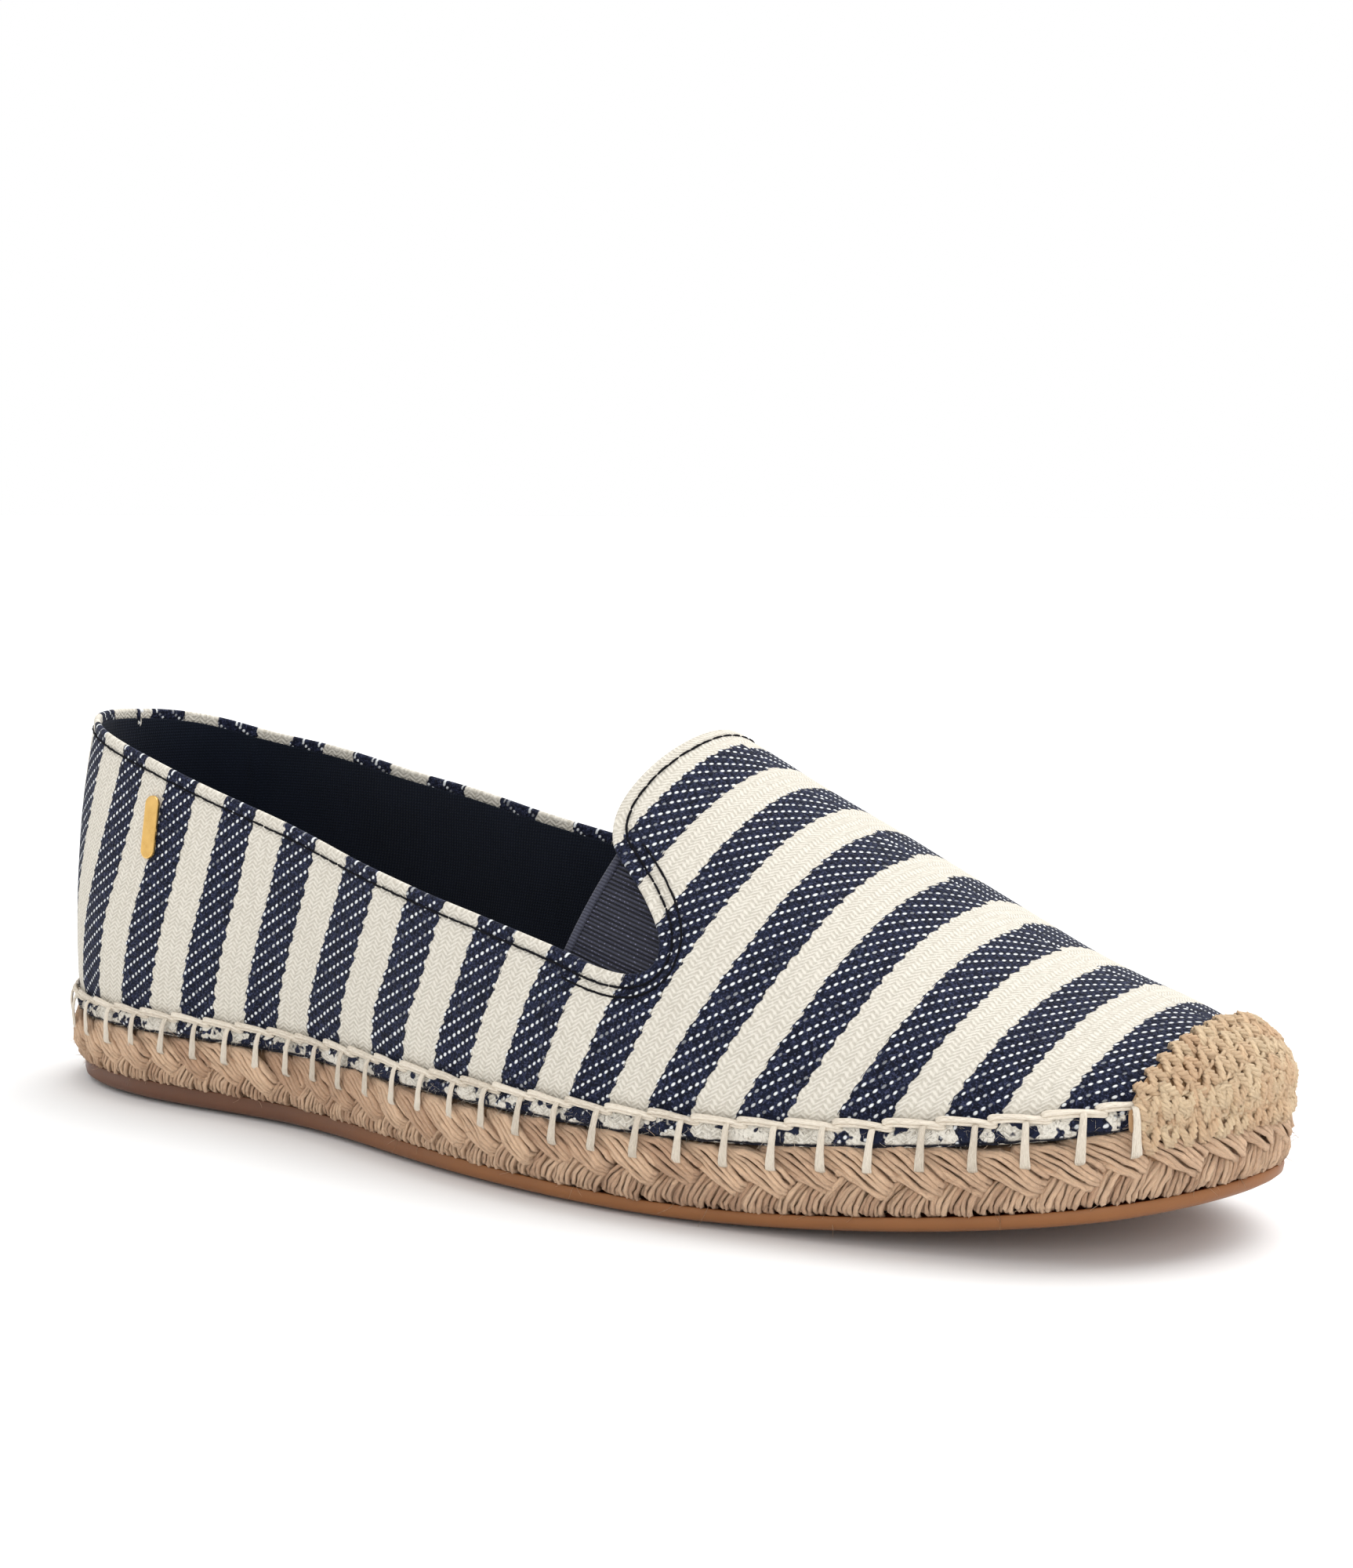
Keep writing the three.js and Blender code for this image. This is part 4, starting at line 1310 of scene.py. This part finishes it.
# Sections at the sole's edge: height and inset from its outline
CORE_SECTION = [(0.4, 3.2), (0.9, 2.2), (4.4, 1.9), (5.2, 2.4), (6.0, 1.8), (9.6, 1.9), (10.2, 2.8)]
TREAD_RECESS = [(0.9, 7.2), (0.9, 7.0), (0.0, 6.6)]
RUBBER_SECTION = [
    (0.0, 3.5), (0.45, 2.3), (0.95, 1.55), (1.9, 1.35), (2.45, 1.45), (RUBBER, 1.6),
    (RUBBER - 0.1, 2.4), (RUBBER - 0.3, 2.8),
]
SOCK_SECTION = [(0.0, 3.0), (0.8, 2.4), (2.2, 2.4), (2.7, 2.8), (INSOLE - 0.05, 4.4), (INSOLE - 0.2, 9.0)]

# Loose fibres: tier (0 upper, 1 lower), length, radius and curl in mm, number to a square metre, seed
LOOSE_FIBRES = [
    (0, 3.2, 0.05, 1.4, 22000.0, 3), (0, 1.6, 0.07, 0.9, 46000.0, 4),
    (1, 3.0, 0.05, 1.4, 18000.0, 5), (1, 1.5, 0.07, 0.9, 46000.0, 6),
]


def make_midsole(yarn, shade):
    """A core in shade behind two tiers of braid, with loose fibres on both."""
    points, faces = lofted(layer_rings(CORE_SECTION, JUTE_Z))
    new_piece("braid_core", points, faces, shade, ("jute_midsole",))
    path = edge_path(JUTE_Z, 1.2)
    lifted = heel_lip(path[0][:, 0])[:, None] * (0, 0, 0.8)
    low_path = (path[0] + lifted, *path[1:])
    upper = on_path("braid_upper", upper_strand_unit(), path, yarn, pitch=STITCH_PITCH, seed=21,
                    turn=0.07, size=0.06, slide=0.35, rough=1.0, rough_size=1.8)
    joined("braid_upper_tier", [upper])
    lower = on_path("braid_lower", lower_strand_unit(), low_path, yarn, pitch=STRAND_PITCH, seed=31,
                    turn=0.12, size=0.1, slide=0.35, rough=1.0, rough_size=1.5)
    joined("braid_lower_tier", [lower])
    hairs = []
    for tier, length, radius, curl, density, seed in LOOSE_FIBRES:
        hair = hair_object(length, radius, curl)
        hairs.append(grown("fibres", (upper, lower)[tier], HAIR_TREE, Hair=hair, Density=density,
                           Size=1.0, Lean=1.0, Seed=seed, Material=yarn))
    loose = joined("loose_jute_fibres", hairs)
    for point in loose.data.vertices:
        point.co.z = max(point.co.z, LOWEST_FIBRE / 1000)


def heel_lip(x):
    """How much taller the rubber's wall is at a length: it thickens to the heel."""
    return HEEL_LIP * (1 - smooth(x, 60, 195))


def make_outsole(material):
    wall = layer_rings(RUBBER_SECTION, 0.0)
    for ring in wall[4:7]:
        ring[:, 2] += heel_lip(ring[:, 0])
    points, faces = lofted([*layer_rings(TREAD_RECESS, 0.0), *wall])
    new_piece("rubber_outsole", points, faces, material, ("outsole",))


def make_tread(material):
    """Cross ribs in the recess under the rubber."""
    outer, inner = EDGE.points[:EDGE.FINE], EDGE.points[:EDGE.FINE:-1]
    points, faces = [], []
    for x in np.arange(14, LENGTH - 13, TREAD_PITCH):
        ends = [(x, np.interp(x, *outer.T) + TREAD_EDGE), (x, np.interp(x, *inner.T) - TREAD_EDGE)]
        ends += [(x + TREAD_RIB, ends[1][1]), (x + TREAD_RIB, ends[0][1])]
        first = len(points)
        for z in (0.15, 1.2):
            points += [(*end, z + toe_spring(end[0])) for end in ends]
        faces += [tuple(first + k for k in face) for face in
                  ((0, 1, 2, 3), (7, 6, 5, 4), (0, 4, 5, 1), (1, 5, 6, 2), (2, 6, 7, 3), (3, 7, 4, 0))]
    new_piece("tread_ribs", np.array(points), faces, material, smooth_faces=False)


def make_insole(material):
    rings = layer_rings(SOCK_SECTION, FEATHER_Z)
    for ring in rings:
        toe = smooth(ring[:, 0], 232, 248)
        out = EDGE.out(np.linspace(0, 2, len(ring), endpoint=False))
        ring[:, :2] -= out * (toe * 2.0)[:, None]
    points, faces = lofted(rings)
    uv = np.array([points[k, :2] for f in faces for k in f])
    new_piece("sock_lining", points, faces, material, ("insole",), uv)


# ---------------------------------------------------------------- lines over the last
def even_line(points, values, step):
    """Points and their values again, evenly spaced."""
    run = np.r_[0, np.cumsum(np.linalg.norm(np.diff(points, axis=0), axis=1))]
    goal = np.linspace(0, run[-1], max(8, int(run[-1] / step)) + 1)
    return [np.column_stack([np.interp(goal, run, v[:, k]) for k in range(v.shape[1])])
            for v in (points, *values)]


def surface_line(points, normals, closed, offset=0.0, step=0.6):
    """A path on the cloth for the tree: outward is the normal, upward lies in the cloth."""
    if closed:
        points, normals = np.vstack([points, points[:1]]), np.vstack([normals, normals[:1]])
    points, normals = even_line(points, [normals], step)
    normals = unit(normals)
    along = unit(np.gradient(points, axis=0))
    return points + normals * offset, normals, unit(np.cross(normals, along))


def cap_corners():
    """Places of the sole's edge where the toe cap's border meets it, outer and inner side."""
    s = np.linspace(0, 2, 4001)
    foot = foot_of(s)
    ahead = foot[:, 0] > cap_edge(foot[:, 1])
    return s[ahead].min(), s[ahead].max()


CAP_OUTER, CAP_INNER = cap_corners()


def shares_at_rise(s, rise, reach=0.35, steps=60):
    """The share of each rib at which it has risen this far over the foot."""
    t = np.linspace(0, reach, steps)
    lift = last_at(s[:, None], t[None])[..., 2] - foot_of(s)[:, None, 2]
    return np.array([np.interp(rise, rib, t) for rib in lift])


def line_at_rise(rise, past=0.0):
    """A line round the last, from the cap's inner corner past the heel to its outer corner."""
    s = np.linspace(CAP_INNER, 2 + CAP_OUTER + past, 1400)
    t = shares_at_rise(s, rise)
    return s, t, last_at(s, t), last_normal(s, t)


# ---------------------------------------------------------------- thread work
def flat_thread(path, widths, filaments, radius):
    """A flat thread of filaments side by side; its width lies across the path, along X."""
    strands = []
    for k in range(filaments):
        share = (k - (filaments - 1) / 2) / max(1, filaments - 1) * 2
        line = np.array(path) + np.array(widths)[:, None] * share * np.array([1, 0, 0]) / 2
        line[:, 1] -= 0.12 * share**2
        strands.append((line, np.full(len(line), radius)))
    return strand_mesh(strands, 5)


def chain_unit():
    """One stitch of the chain: four thin cords, its back end over the end of the one behind."""
    line = bend([(-4.9, 0.25, 0.15), (-4.0, 0.75, 0.5), (-1.5, 0.85, 0.42), (1.5, 0.7, 0.05),
                 (4.0, 0.45, -0.38), (4.8, 0.05, -0.3)], 12)
    share = np.linspace(0, 1, len(line))
    radius = 0.34 * np.interp(share, [0, 0.1, 0.9, 1], [0.6, 1, 1, 0.6])
    cords = []
    for k, (y, z) in enumerate(((0.0, 0.0), (0.14, 0.36), (0.02, -0.36), (0.3, 0.08))):
        wave = np.sin(4 * share + k * 1.9)[:, None] * (0, 0.05, 0.07)
        cords.append((line + (0, y, z) + wave, radius))
    return strand_mesh(cords, 6)


def leg_unit():
    """The leg of a stitch: from the chain over the hem and down into the braid."""
    line = bend([(0.9, -0.3, 3.9), (0.8, 0.95, 3.5), (0.55, 1.35, 1.8), (0.3, 1.35, 0.4), (0.0, 1.2, -1.2),
                 (-0.25, 1.0, -2.9), (-0.35, -0.6, -3.7)], 14)
    widths = np.interp(np.linspace(0, 1, len(line)), [0, 0.4, 0.85, 1], [0.6, 0.8, 1.3, 0.9])
    return flat_thread(line, widths, 6, 0.19)


def make_sole_stitches(thread):
    past = STITCH_PITCH / EDGE_HALF
    edge = edge_path(JUTE_TOP, 0.0, CAP_INNER, 2 + CAP_OUTER + past)
    count = round((run_length(edge[0]) - FIRST_LEG) / STITCH_PITCH)
    legs = on_path("legs", leg_unit(), edge, thread, count=count, seed=51, start=FIRST_LEG, turn=0.04,
                   size=0.03, slide=0.25, rough=0.25, rough_size=3.0)
    _, _, points, normals = line_at_rise(CHAIN_RISE, past)
    chains = on_path("chain", chain_unit(), surface_line(points, normals, False), thread, count=count - 1,
                     seed=41, start=FIRST_LEG + STITCH_PITCH / 2, turn=0.02, size=0.03, slide=0.15,
                     rough=0.35, rough_size=3.0)
    joined("sole_stitches", [chains, legs])


# Section of the frayed hem: height over the foot of the upper, and how far it stands out
HEM_SECTION = [
    (3.5, -0.1), (3.1, 0.35), (2.4, 0.75), (1.7, 0.9), (1.0, 0.85), (0.4, 0.6), (0.05, 0.2), (0.0, -0.8),
]


def make_hem(material, fluff):
    grid, uv = [], []
    for rise, proud in HEM_SECTION:
        s, t, points, normals = line_at_rise(max(rise, 0.01))
        shaggy = 0.3 * value_noise(points, 2.3, 13) + 0.18 * value_noise(points, 0.9, 14)
        drawn = -0.25 * np.abs(np.cos(np.linspace(0, math.pi * 74, len(s))))
        grid.append(points + normals * (proud + (shaggy + drawn) * (rise < 3.4))[:, None])
        place = cloth_place(s % 2, t, points)
        uv.append(np.column_stack([place[:, 0], np.full(len(s), rise)]))
    points, uv = np.vstack(grid), np.vstack(uv)
    n = len(s)
    faces = []
    for j in range(len(HEM_SECTION) - 1):
        for i in range(n - 1):
            a = j * n + i
            faces.append((a, a + n, a + n + 1, a + 1))
    corners = np.array([uv[k] for f in faces for k in f])
    piece = new_piece("frayed_hem", points, faces, material, (), corners)
    fluffy = grown("fluff", piece.data.copy(), HAIR_TREE, Hair=hair_object(1.3, 0.035, 0.5),
                   Density=620000.0, Size=1.0, Lean=1.1, Seed=7, Material=fluff)
    joined("hem_fluff", [fluffy])


def line_below_fold(depth):
    """The line round the throat at a depth below its fold, with the normals there."""
    def field(points):
        return below_fold(points) - depth

    sheet = Sheet(np.linspace(0, 2, COLUMNS + 1), np.linspace(0, 1, ROWS + 1), field)
    rim = max(sheet.rims(), key=lambda chain: sheet.points[chain][:, 2].max())
    return blur(sheet.points[rim], 2), unit(blur(sheet.normals[rim], 2))


def notch_lines():
    """The second row of topstitching, which only the two notches have."""
    points, normals = line_below_fold(TOPSTITCH_SECOND)
    notch = (points[:, 0] > 147.5) & (points[:, 2] < 58.5)
    start = np.flatnonzero(~notch)[0]
    points, normals, notch = (np.roll(v, -start, 0) for v in (points, normals, notch))
    changes = np.flatnonzero(np.diff(notch.astype(int)))
    runs = [slice(a + 1, b + 1) for a, b in zip(changes[::2], changes[1::2]) if b - a > 6]
    return [(points[run], normals[run]) for run in runs]


def back_seam_line(s):
    t = np.linspace(0.04, 0.6, 80)
    line = last_at(s, t)
    line = line[below_fold(line) > TOPSTITCH_IN + 0.8]
    return line, last_normal(s, t[: len(line)])


def make_topstitching(thread):
    line = bend([(-1.28, -0.22, 0), (-1.1, 0.06, 0), (0, 0.16, 0.03), (1.1, 0.06, 0), (1.28, -0.22, 0)], 7)
    stitch = strand_mesh([(line, np.full(7, 0.2))], 6)
    uneven = {"turn": 0.03, "size": 0.06, "slide": 0.07}
    collar = surface_line(*line_below_fold(TOPSTITCH_IN), True, -0.1)
    rows = [on_path("collar stitches", stitch, collar, thread, pitch=2.75, seed=61, **uneven)]
    for points, normals in notch_lines():
        path = surface_line(points, normals, False)
        rows.append(on_path("notch stitches", stitch, path, thread, pitch=2.6, seed=67, start=1.6,
                            **uneven))
    for s in (0.0085, 2 - 0.0085):
        path = surface_line(*back_seam_line(s), False)
        rows.append(on_path("back seam stitches", stitch, path, thread, pitch=2.75, seed=71, start=1.6))
    joined("topstitching", rows)


# ---------------------------------------------------------------- elastic gores
SELVEDGE = 1.5  # width of the elastic's plain edge
RIB_PITCH = 0.62
GORE_FRONT, GORE_REAR = 1.75, 2.5  # its two faces, under the last's surface


def place_from_side(x, z, outer):
    """Places (s, t) of the last seen at x and z from one side."""
    s = np.linspace(0.4, 0.85, 90) if outer else np.linspace(1.15, 1.6, 90)
    t = np.linspace(0.02, 0.97, 90)
    grid = np.stack(np.meshgrid(s, t, indexing="ij"), -1).reshape(-1, 2)
    table = last_at(*grid.T)
    away = (x[:, None] - table[None, :, 0]) ** 2 + (z[:, None] - table[None, :, 2]) ** 2
    place = grid[away.argmin(axis=1)].copy()
    for _ in range(6):
        here = last_at(*place.T)
        ds = (last_at(place[:, 0] + 1e-4, place[:, 1]) - here)[:, [0, 2]] / 1e-4
        dt = (last_at(place[:, 0], place[:, 1] + 1e-4) - here)[:, [0, 2]] / 1e-4
        miss = np.column_stack([x, z]) - here[:, [0, 2]]
        det = ds[:, 0] * dt[:, 1] - ds[:, 1] * dt[:, 0]
        step = np.column_stack([
            (miss[:, 0] * dt[:, 1] - miss[:, 1] * dt[:, 0]) / det,
            (ds[:, 0] * miss[:, 1] - ds[:, 1] * miss[:, 0]) / det,
        ])
        place += np.clip(step, -0.02, 0.02)
    return place


def gore_grid(outer):
    """Distances along the gore's edge and in from it, and each crossing's place on the last."""
    column = 1 if outer else 2
    start, end = (np.array(GORE_CORNERS[k], float)[[0, column]] for k in (0, 3))
    length = np.linalg.norm(end - start)
    along = (end - start) / length
    into = np.array([along[1], -along[0]])
    p = np.arange(0.4, length - 1.5, RIB_PITCH / 6)
    over_selvedge = [0, 0.12, 0.4, 0.75, 1.1, 1.38, SELVEDGE, SELVEDGE + 0.12, SELVEDGE + 0.4]
    q = np.r_[over_selvedge, np.linspace(2.1, 19, 24)]
    grid = start + p[:, None, None] * along + q[None, :, None] * into
    return p, q, place_from_side(grid[..., 0].ravel(), grid[..., 1].ravel(), outer)


def two_faced(rows, columns, flip):
    """Faces of a grid and its twin behind it, closed round the border."""
    n = rows * columns
    faces = []
    for i in range(rows - 1):
        for j in range(columns - 1):
            a = i * columns + j
            ring = (a, a + 1, a + columns + 1, a + columns)
            back_ring = tuple(k + n for k in ring)
            faces.append(ring[::-1] if flip else ring)
            faces.append(back_ring if flip else back_ring[::-1])
    border = [*range(columns), *[i * columns + columns - 1 for i in range(1, rows)],
              *[(rows - 1) * columns + j for j in range(columns - 2, -1, -1)],
              *[i * columns for i in range(rows - 2, 0, -1)]]
    for a, b in zip(border, border[1:] + border[:1]):
        faces.append((b, a, a + n, b + n) if flip else (a, b, b + n, a + n))
    return faces


def make_gore(name, outer, material):
    p, q, place = gore_grid(outer)
    points, normals = last_at(*place.T), last_normal(*place.T)
    rib = np.repeat((0.5 - 0.5 * np.cos(2 * math.pi * p / RIB_PITCH))[:, None] ** 0.7, len(q), 1)
    on_edge = (q < SELVEDGE)[None].repeat(len(p), 0)
    roll = np.sqrt(np.clip(1 - ((q - SELVEDGE / 2) / (SELVEDGE / 2)) ** 2, 0, 1))[None] * 0.5
    height = np.where(on_edge, roll, rib * 0.22 + 0.05)
    height[:, np.abs(q - SELVEDGE - 0.15) < 0.2] = -0.15
    front = points + normals * (height.ravel() - GORE_FRONT)[:, None]
    rear = points - normals * GORE_REAR
    faces = two_faced(len(p), len(q), outer)
    flat = np.stack(np.meshgrid(q, p, indexing="xy"), -1).reshape(-1, 2)
    flat = np.vstack([flat, flat])
    corners = np.array([flat[k] for f in faces for k in f])
    layers = {"rib": np.r_[rib.ravel(), rib.ravel()], "selvedge": np.r_[on_edge.ravel(), on_edge.ravel()]}
    replaced = "gore_outer" if outer else "gore_inner"
    new_piece(name, np.vstack([front, rear]), faces, material, (replaced,), corners, layers)


# ---------------------------------------------------------------- crocheted toe cap
CROCHET_ROW = 2.6
CROCHET_PITCH = 3.25
CROCHET_ROWS = 9
CAP_GROUND, CAP_GROUND_THICKNESS = 1.0, 0.9  # the ground's outside over the last, and its wall


def crochet_unit():
    """One stitch: two plied arms that open from the row below into a V, and a bar across them."""
    strands = []
    for side in (-1, 1):
        arm = bend([(0.1 * side - 0.3, -0.3, -1.8), (0.3 * side - 0.3, 0.7, -1.2), (0.85 * side, 0.95, 0.1),
                    (1.25 * side + 0.3, 0.6, 1.2), (1.4 * side + 0.3, -0.4, 1.7)], 9)
        width = np.interp(np.linspace(0, 1, 9), [0, 0.25, 0.8, 1], [0.7, 1, 1, 0.6]) * 0.43
        strands += bundle(arm, width, 3, 0.4, 2.6, phase=side)
    bar = bend([(-1.7, -0.1, 1.45), (-0.8, 0.5, 1.75), (0.6, 0.55, 1.6), (1.7, -0.1, 1.3)], 8)
    strands += bundle(bar, np.full(8, 0.32), 2, 0.32, 2.2)
    return strand_mesh(strands, 5)


def ahead_of_border(points):
    return points[:, 0] - cap_edge(points[:, 1])


def cap_sheet(field):
    """The last's surface at the toe, where a field is above zero."""
    return Sheet(np.linspace(CAP_OUTER - 0.05, CAP_INNER + 0.05, 140), np.linspace(0, 1, 60), field)


def border_of(sheet):
    """Points of the cap's border over the foot, from the outer side to the inner one."""
    rim = sheet.points[max(sheet.rims(), key=len)]
    border = rim[np.abs(ahead_of_border(rim)) < 0.05]
    return border[np.argsort(border[:, 1])]


def crochet_row(base, depth, border):
    """The line of a row of stitches at a depth ahead of the border, or none past the last row."""
    def beyond(points):
        ahead = ahead_of_border(points)
        down = np.interp(points[:, 1], border[:, 1], border[:, 2]) - points[:, 2]
        return np.hypot(np.maximum(ahead, 0), np.maximum(down, 0)) * np.sign(ahead) - depth

    if beyond(base.points).max() < 0.5:
        return None
    sheet = cap_sheet(beyond)
    rim = max(sheet.rims(), key=len)
    line, normals = sheet.points[rim], sheet.normals[rim]
    kept = (np.abs(beyond(line)) < 0.4) & (rise_over_foot(line) > 0.6)
    gap = np.flatnonzero(~kept)
    if len(gap):
        line, normals, kept = (np.roll(v, -gap[0], 0) for v in (line, normals, kept))
    line, normals = line[kept], normals[kept]
    if len(line) < 8:
        return None
    line[1:-1] = (line[:-2] + 2 * line[1:-1] + line[2:]) / 4
    path = surface_line(line, normals, False, 1.15, 0.4)
    return path if run_length(path[0]) > 6 else None


def crochet_foot(rise, offset):
    """The line of a row of stitches along the cap's foot."""
    s = np.linspace(CAP_OUTER, CAP_INNER, 200)
    t = shares_at_rise(s, rise, 0.4, 80)
    return surface_line(last_at(s, t), last_normal(s, t), False, offset, 0.4)


def make_toe_cap(yarn, ground):
    base = cap_sheet(ahead_of_border)
    outer = base.points + base.normals * CAP_GROUND
    points, faces, corners = shell(base, outer, base.normals, CAP_GROUND_THICKNESS, base.st * 30, False)
    # the ground's darker yarn colour is painted shade between the stitches
    new_piece("toe_cap_ground", points, faces, ground, ("toe_cap",), corners,
              {"tone": np.zeros(len(points))})
    stitch, border = crochet_unit(), border_of(base)
    # each row: name, path, seed, start, turn, size and slide
    rows = []
    for row in range(CROCHET_ROWS):
        path = crochet_row(base, 1.0 + CROCHET_ROW * row, border)
        if path is None:
            break
        rows.append((f"crochet row {row}", path, 80 + row, 1.9 + 0.7 * (row % 2), 0.13, 0.07, 0.22))
    for number, (rise, offset) in enumerate(((0.9, 0.9), (2.9, 1.25))):
        path = crochet_foot(rise, offset)
        rows.append((f"crochet foot {number}", path, 120 + number, 2.0, 0.16, 0.08, 0.25))
    for number, (height, inset) in enumerate(((JUTE_TOP + 0.5, 2.3), (JUTE_TOP - 1.3, 1.1))):
        path = edge_path(height, inset, CAP_OUTER + 0.002, CAP_INNER - 0.002)
        rows.append((f"crochet edge {number}", path, 140 + number, 2.0, 0.2, 0.08, 0.3))
    stitches = [on_path(name, stitch, path, yarn, pitch=CROCHET_PITCH, seed=seed, start=start, turn=turn,
                        size=size, slide=slide, rough=0.5, rough_size=2.0)
                for name, path, seed, start, turn, size, slide in rows]
    joined("toe_cap_crochet", stitches)


# ---------------------------------------------------------------- camera, floor and light
# The camera looks from the outer side of the toe, a little above the shoe
TARGET = Vector((128, 0, 35))
AZIMUTH, ELEVATION, ROLL = 39.0, 9.2, 0.2
DISTANCE, AIM_RIGHT, AIM_UP = 519.0, 12.2, 29.2
LENS = 66.42
SUN_POWER = 2.2
SUN_FROM = (0.15, 0.55, 1.0)


def make_camera():
    az, el = math.radians(AZIMUTH), math.radians(ELEVATION)
    back = Vector((math.sin(az) * math.cos(el), -math.cos(az) * math.cos(el), math.sin(el)))
    right = Vector((math.cos(az), math.sin(az), 0))
    place = TARGET + back * DISTANCE
    aim = TARGET + right * AIM_RIGHT + back.cross(right) * AIM_UP
    data = bpy.data.cameras.new("view")
    data.lens, data.sensor_width = LENS, 36
    data.clip_start, data.clip_end = 0.05, 20
    camera = bpy.data.objects.new("view", data)
    bpy.context.collection.objects.link(camera)
    z = (place - aim).normalized()
    x = Vector((0, 0, 1)).cross(z).normalized()
    y = z.cross(x)
    roll = math.radians(ROLL)
    x, y = x * math.cos(roll) + y * math.sin(roll), -x * math.sin(roll) + y * math.cos(roll)
    turned = Matrix((x, y, z)).transposed().to_4x4()
    camera.matrix_world = Matrix.Translation(Vector(in_frame(place))) @ turned
    bpy.context.scene.camera = camera


def make_floor():
    """A wide white floor."""
    mesh = bpy.data.meshes.new("floor")
    build = bmesh.new()
    bmesh.ops.create_circle(build, cap_ends=True, segments=64, radius=9.0)
    build.to_mesh(mesh)
    build.free()
    white = Finish("studio white", 0.8)
    white.shader.inputs["Base Color"].default_value = (0.88, 0.88, 0.88, 1)
    mesh.materials.append(white.material)
    floor = bpy.data.objects.new("floor", mesh)
    floor.location.z = -0.0004
    bpy.context.collection.objects.link(floor)


def add_light(name, place, size, power, aim=(0, 0, 0.04)):
    data = bpy.data.lights.new(name, "AREA")
    data.shape, data.size, data.size_y = "RECTANGLE", size[0], size[1]
    data.energy = power
    light = bpy.data.objects.new(name, data)
    light.location = place
    light.rotation_euler = (Vector(aim) - Vector(place)).to_track_quat("-Z", "Y").to_euler()
    bpy.context.collection.objects.link(light)


def make_studio():
    """A white room with broad light from above and behind."""
    scene = bpy.context.scene
    scene.view_settings.view_transform = "Standard"
    world = bpy.data.worlds.new("studio")
    world.use_nodes = True
    room = world.node_tree.nodes["Background"]
    room.inputs["Color"].default_value = (1, 1, 1, 1)
    room.inputs["Strength"].default_value = 1.0
    scene.world = world
    data = bpy.data.lights.new("broad light from above", "SUN")
    data.energy, data.angle = SUN_POWER, math.radians(60)
    sun = bpy.data.objects.new("broad light from above", data)
    sun.rotation_euler = Vector(SUN_FROM).to_track_quat("Z", "Y").to_euler()
    bpy.context.collection.objects.link(sun)
    add_light("front fill", (0.9, -0.9, 0.55), (0.6, 0.5), 3.0)


# ---------------------------------------------------------------- making it
PATH_TREE = path_tree()
HAIR_TREE = hair_tree()


def main():
    make_camera()
    make_floor()
    make_studio()
    make_canvas(striped_twill())
    make_lining(lining_cloth())
    yarn = jute_fibre("jute yarn", *JUTE_YARN)
    shade = jute_fibre("jute in shade", *JUTE_IN_SHADE)
    crochet = jute_fibre("crochet yarn", *CROCHET_YARN)
    ground = jute_fibre("crochet ground", *CROCHET_GROUND_IN_SHADE)
    waxed = thread_finish("waxed ecru thread", *ECRU_THREAD, 0.55)
    black = thread_finish("dark sewing thread", *BLACK_THREAD, 0.8, 0.1)
    make_midsole(yarn, shade)
    rubber = rubber_finish()
    make_outsole(rubber)
    make_tread(rubber)
    make_insole(lining_cloth())
    make_hem(striped_twill("frayed twill", True), waxed)
    make_sole_stitches(waxed)
    make_topstitching(black)
    elastic = elastic_finish()
    make_gore("elastic_gore_outer", True, elastic)
    make_gore("elastic_gore_inner", False, elastic)
    make_toe_cap(crochet, ground)
    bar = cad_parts["heel_bar"]
    bar.data.materials.clear()
    bar.data.materials.append(gold_finish())
    for hair in HAIRS:
        bpy.data.objects.remove(hair)


main()
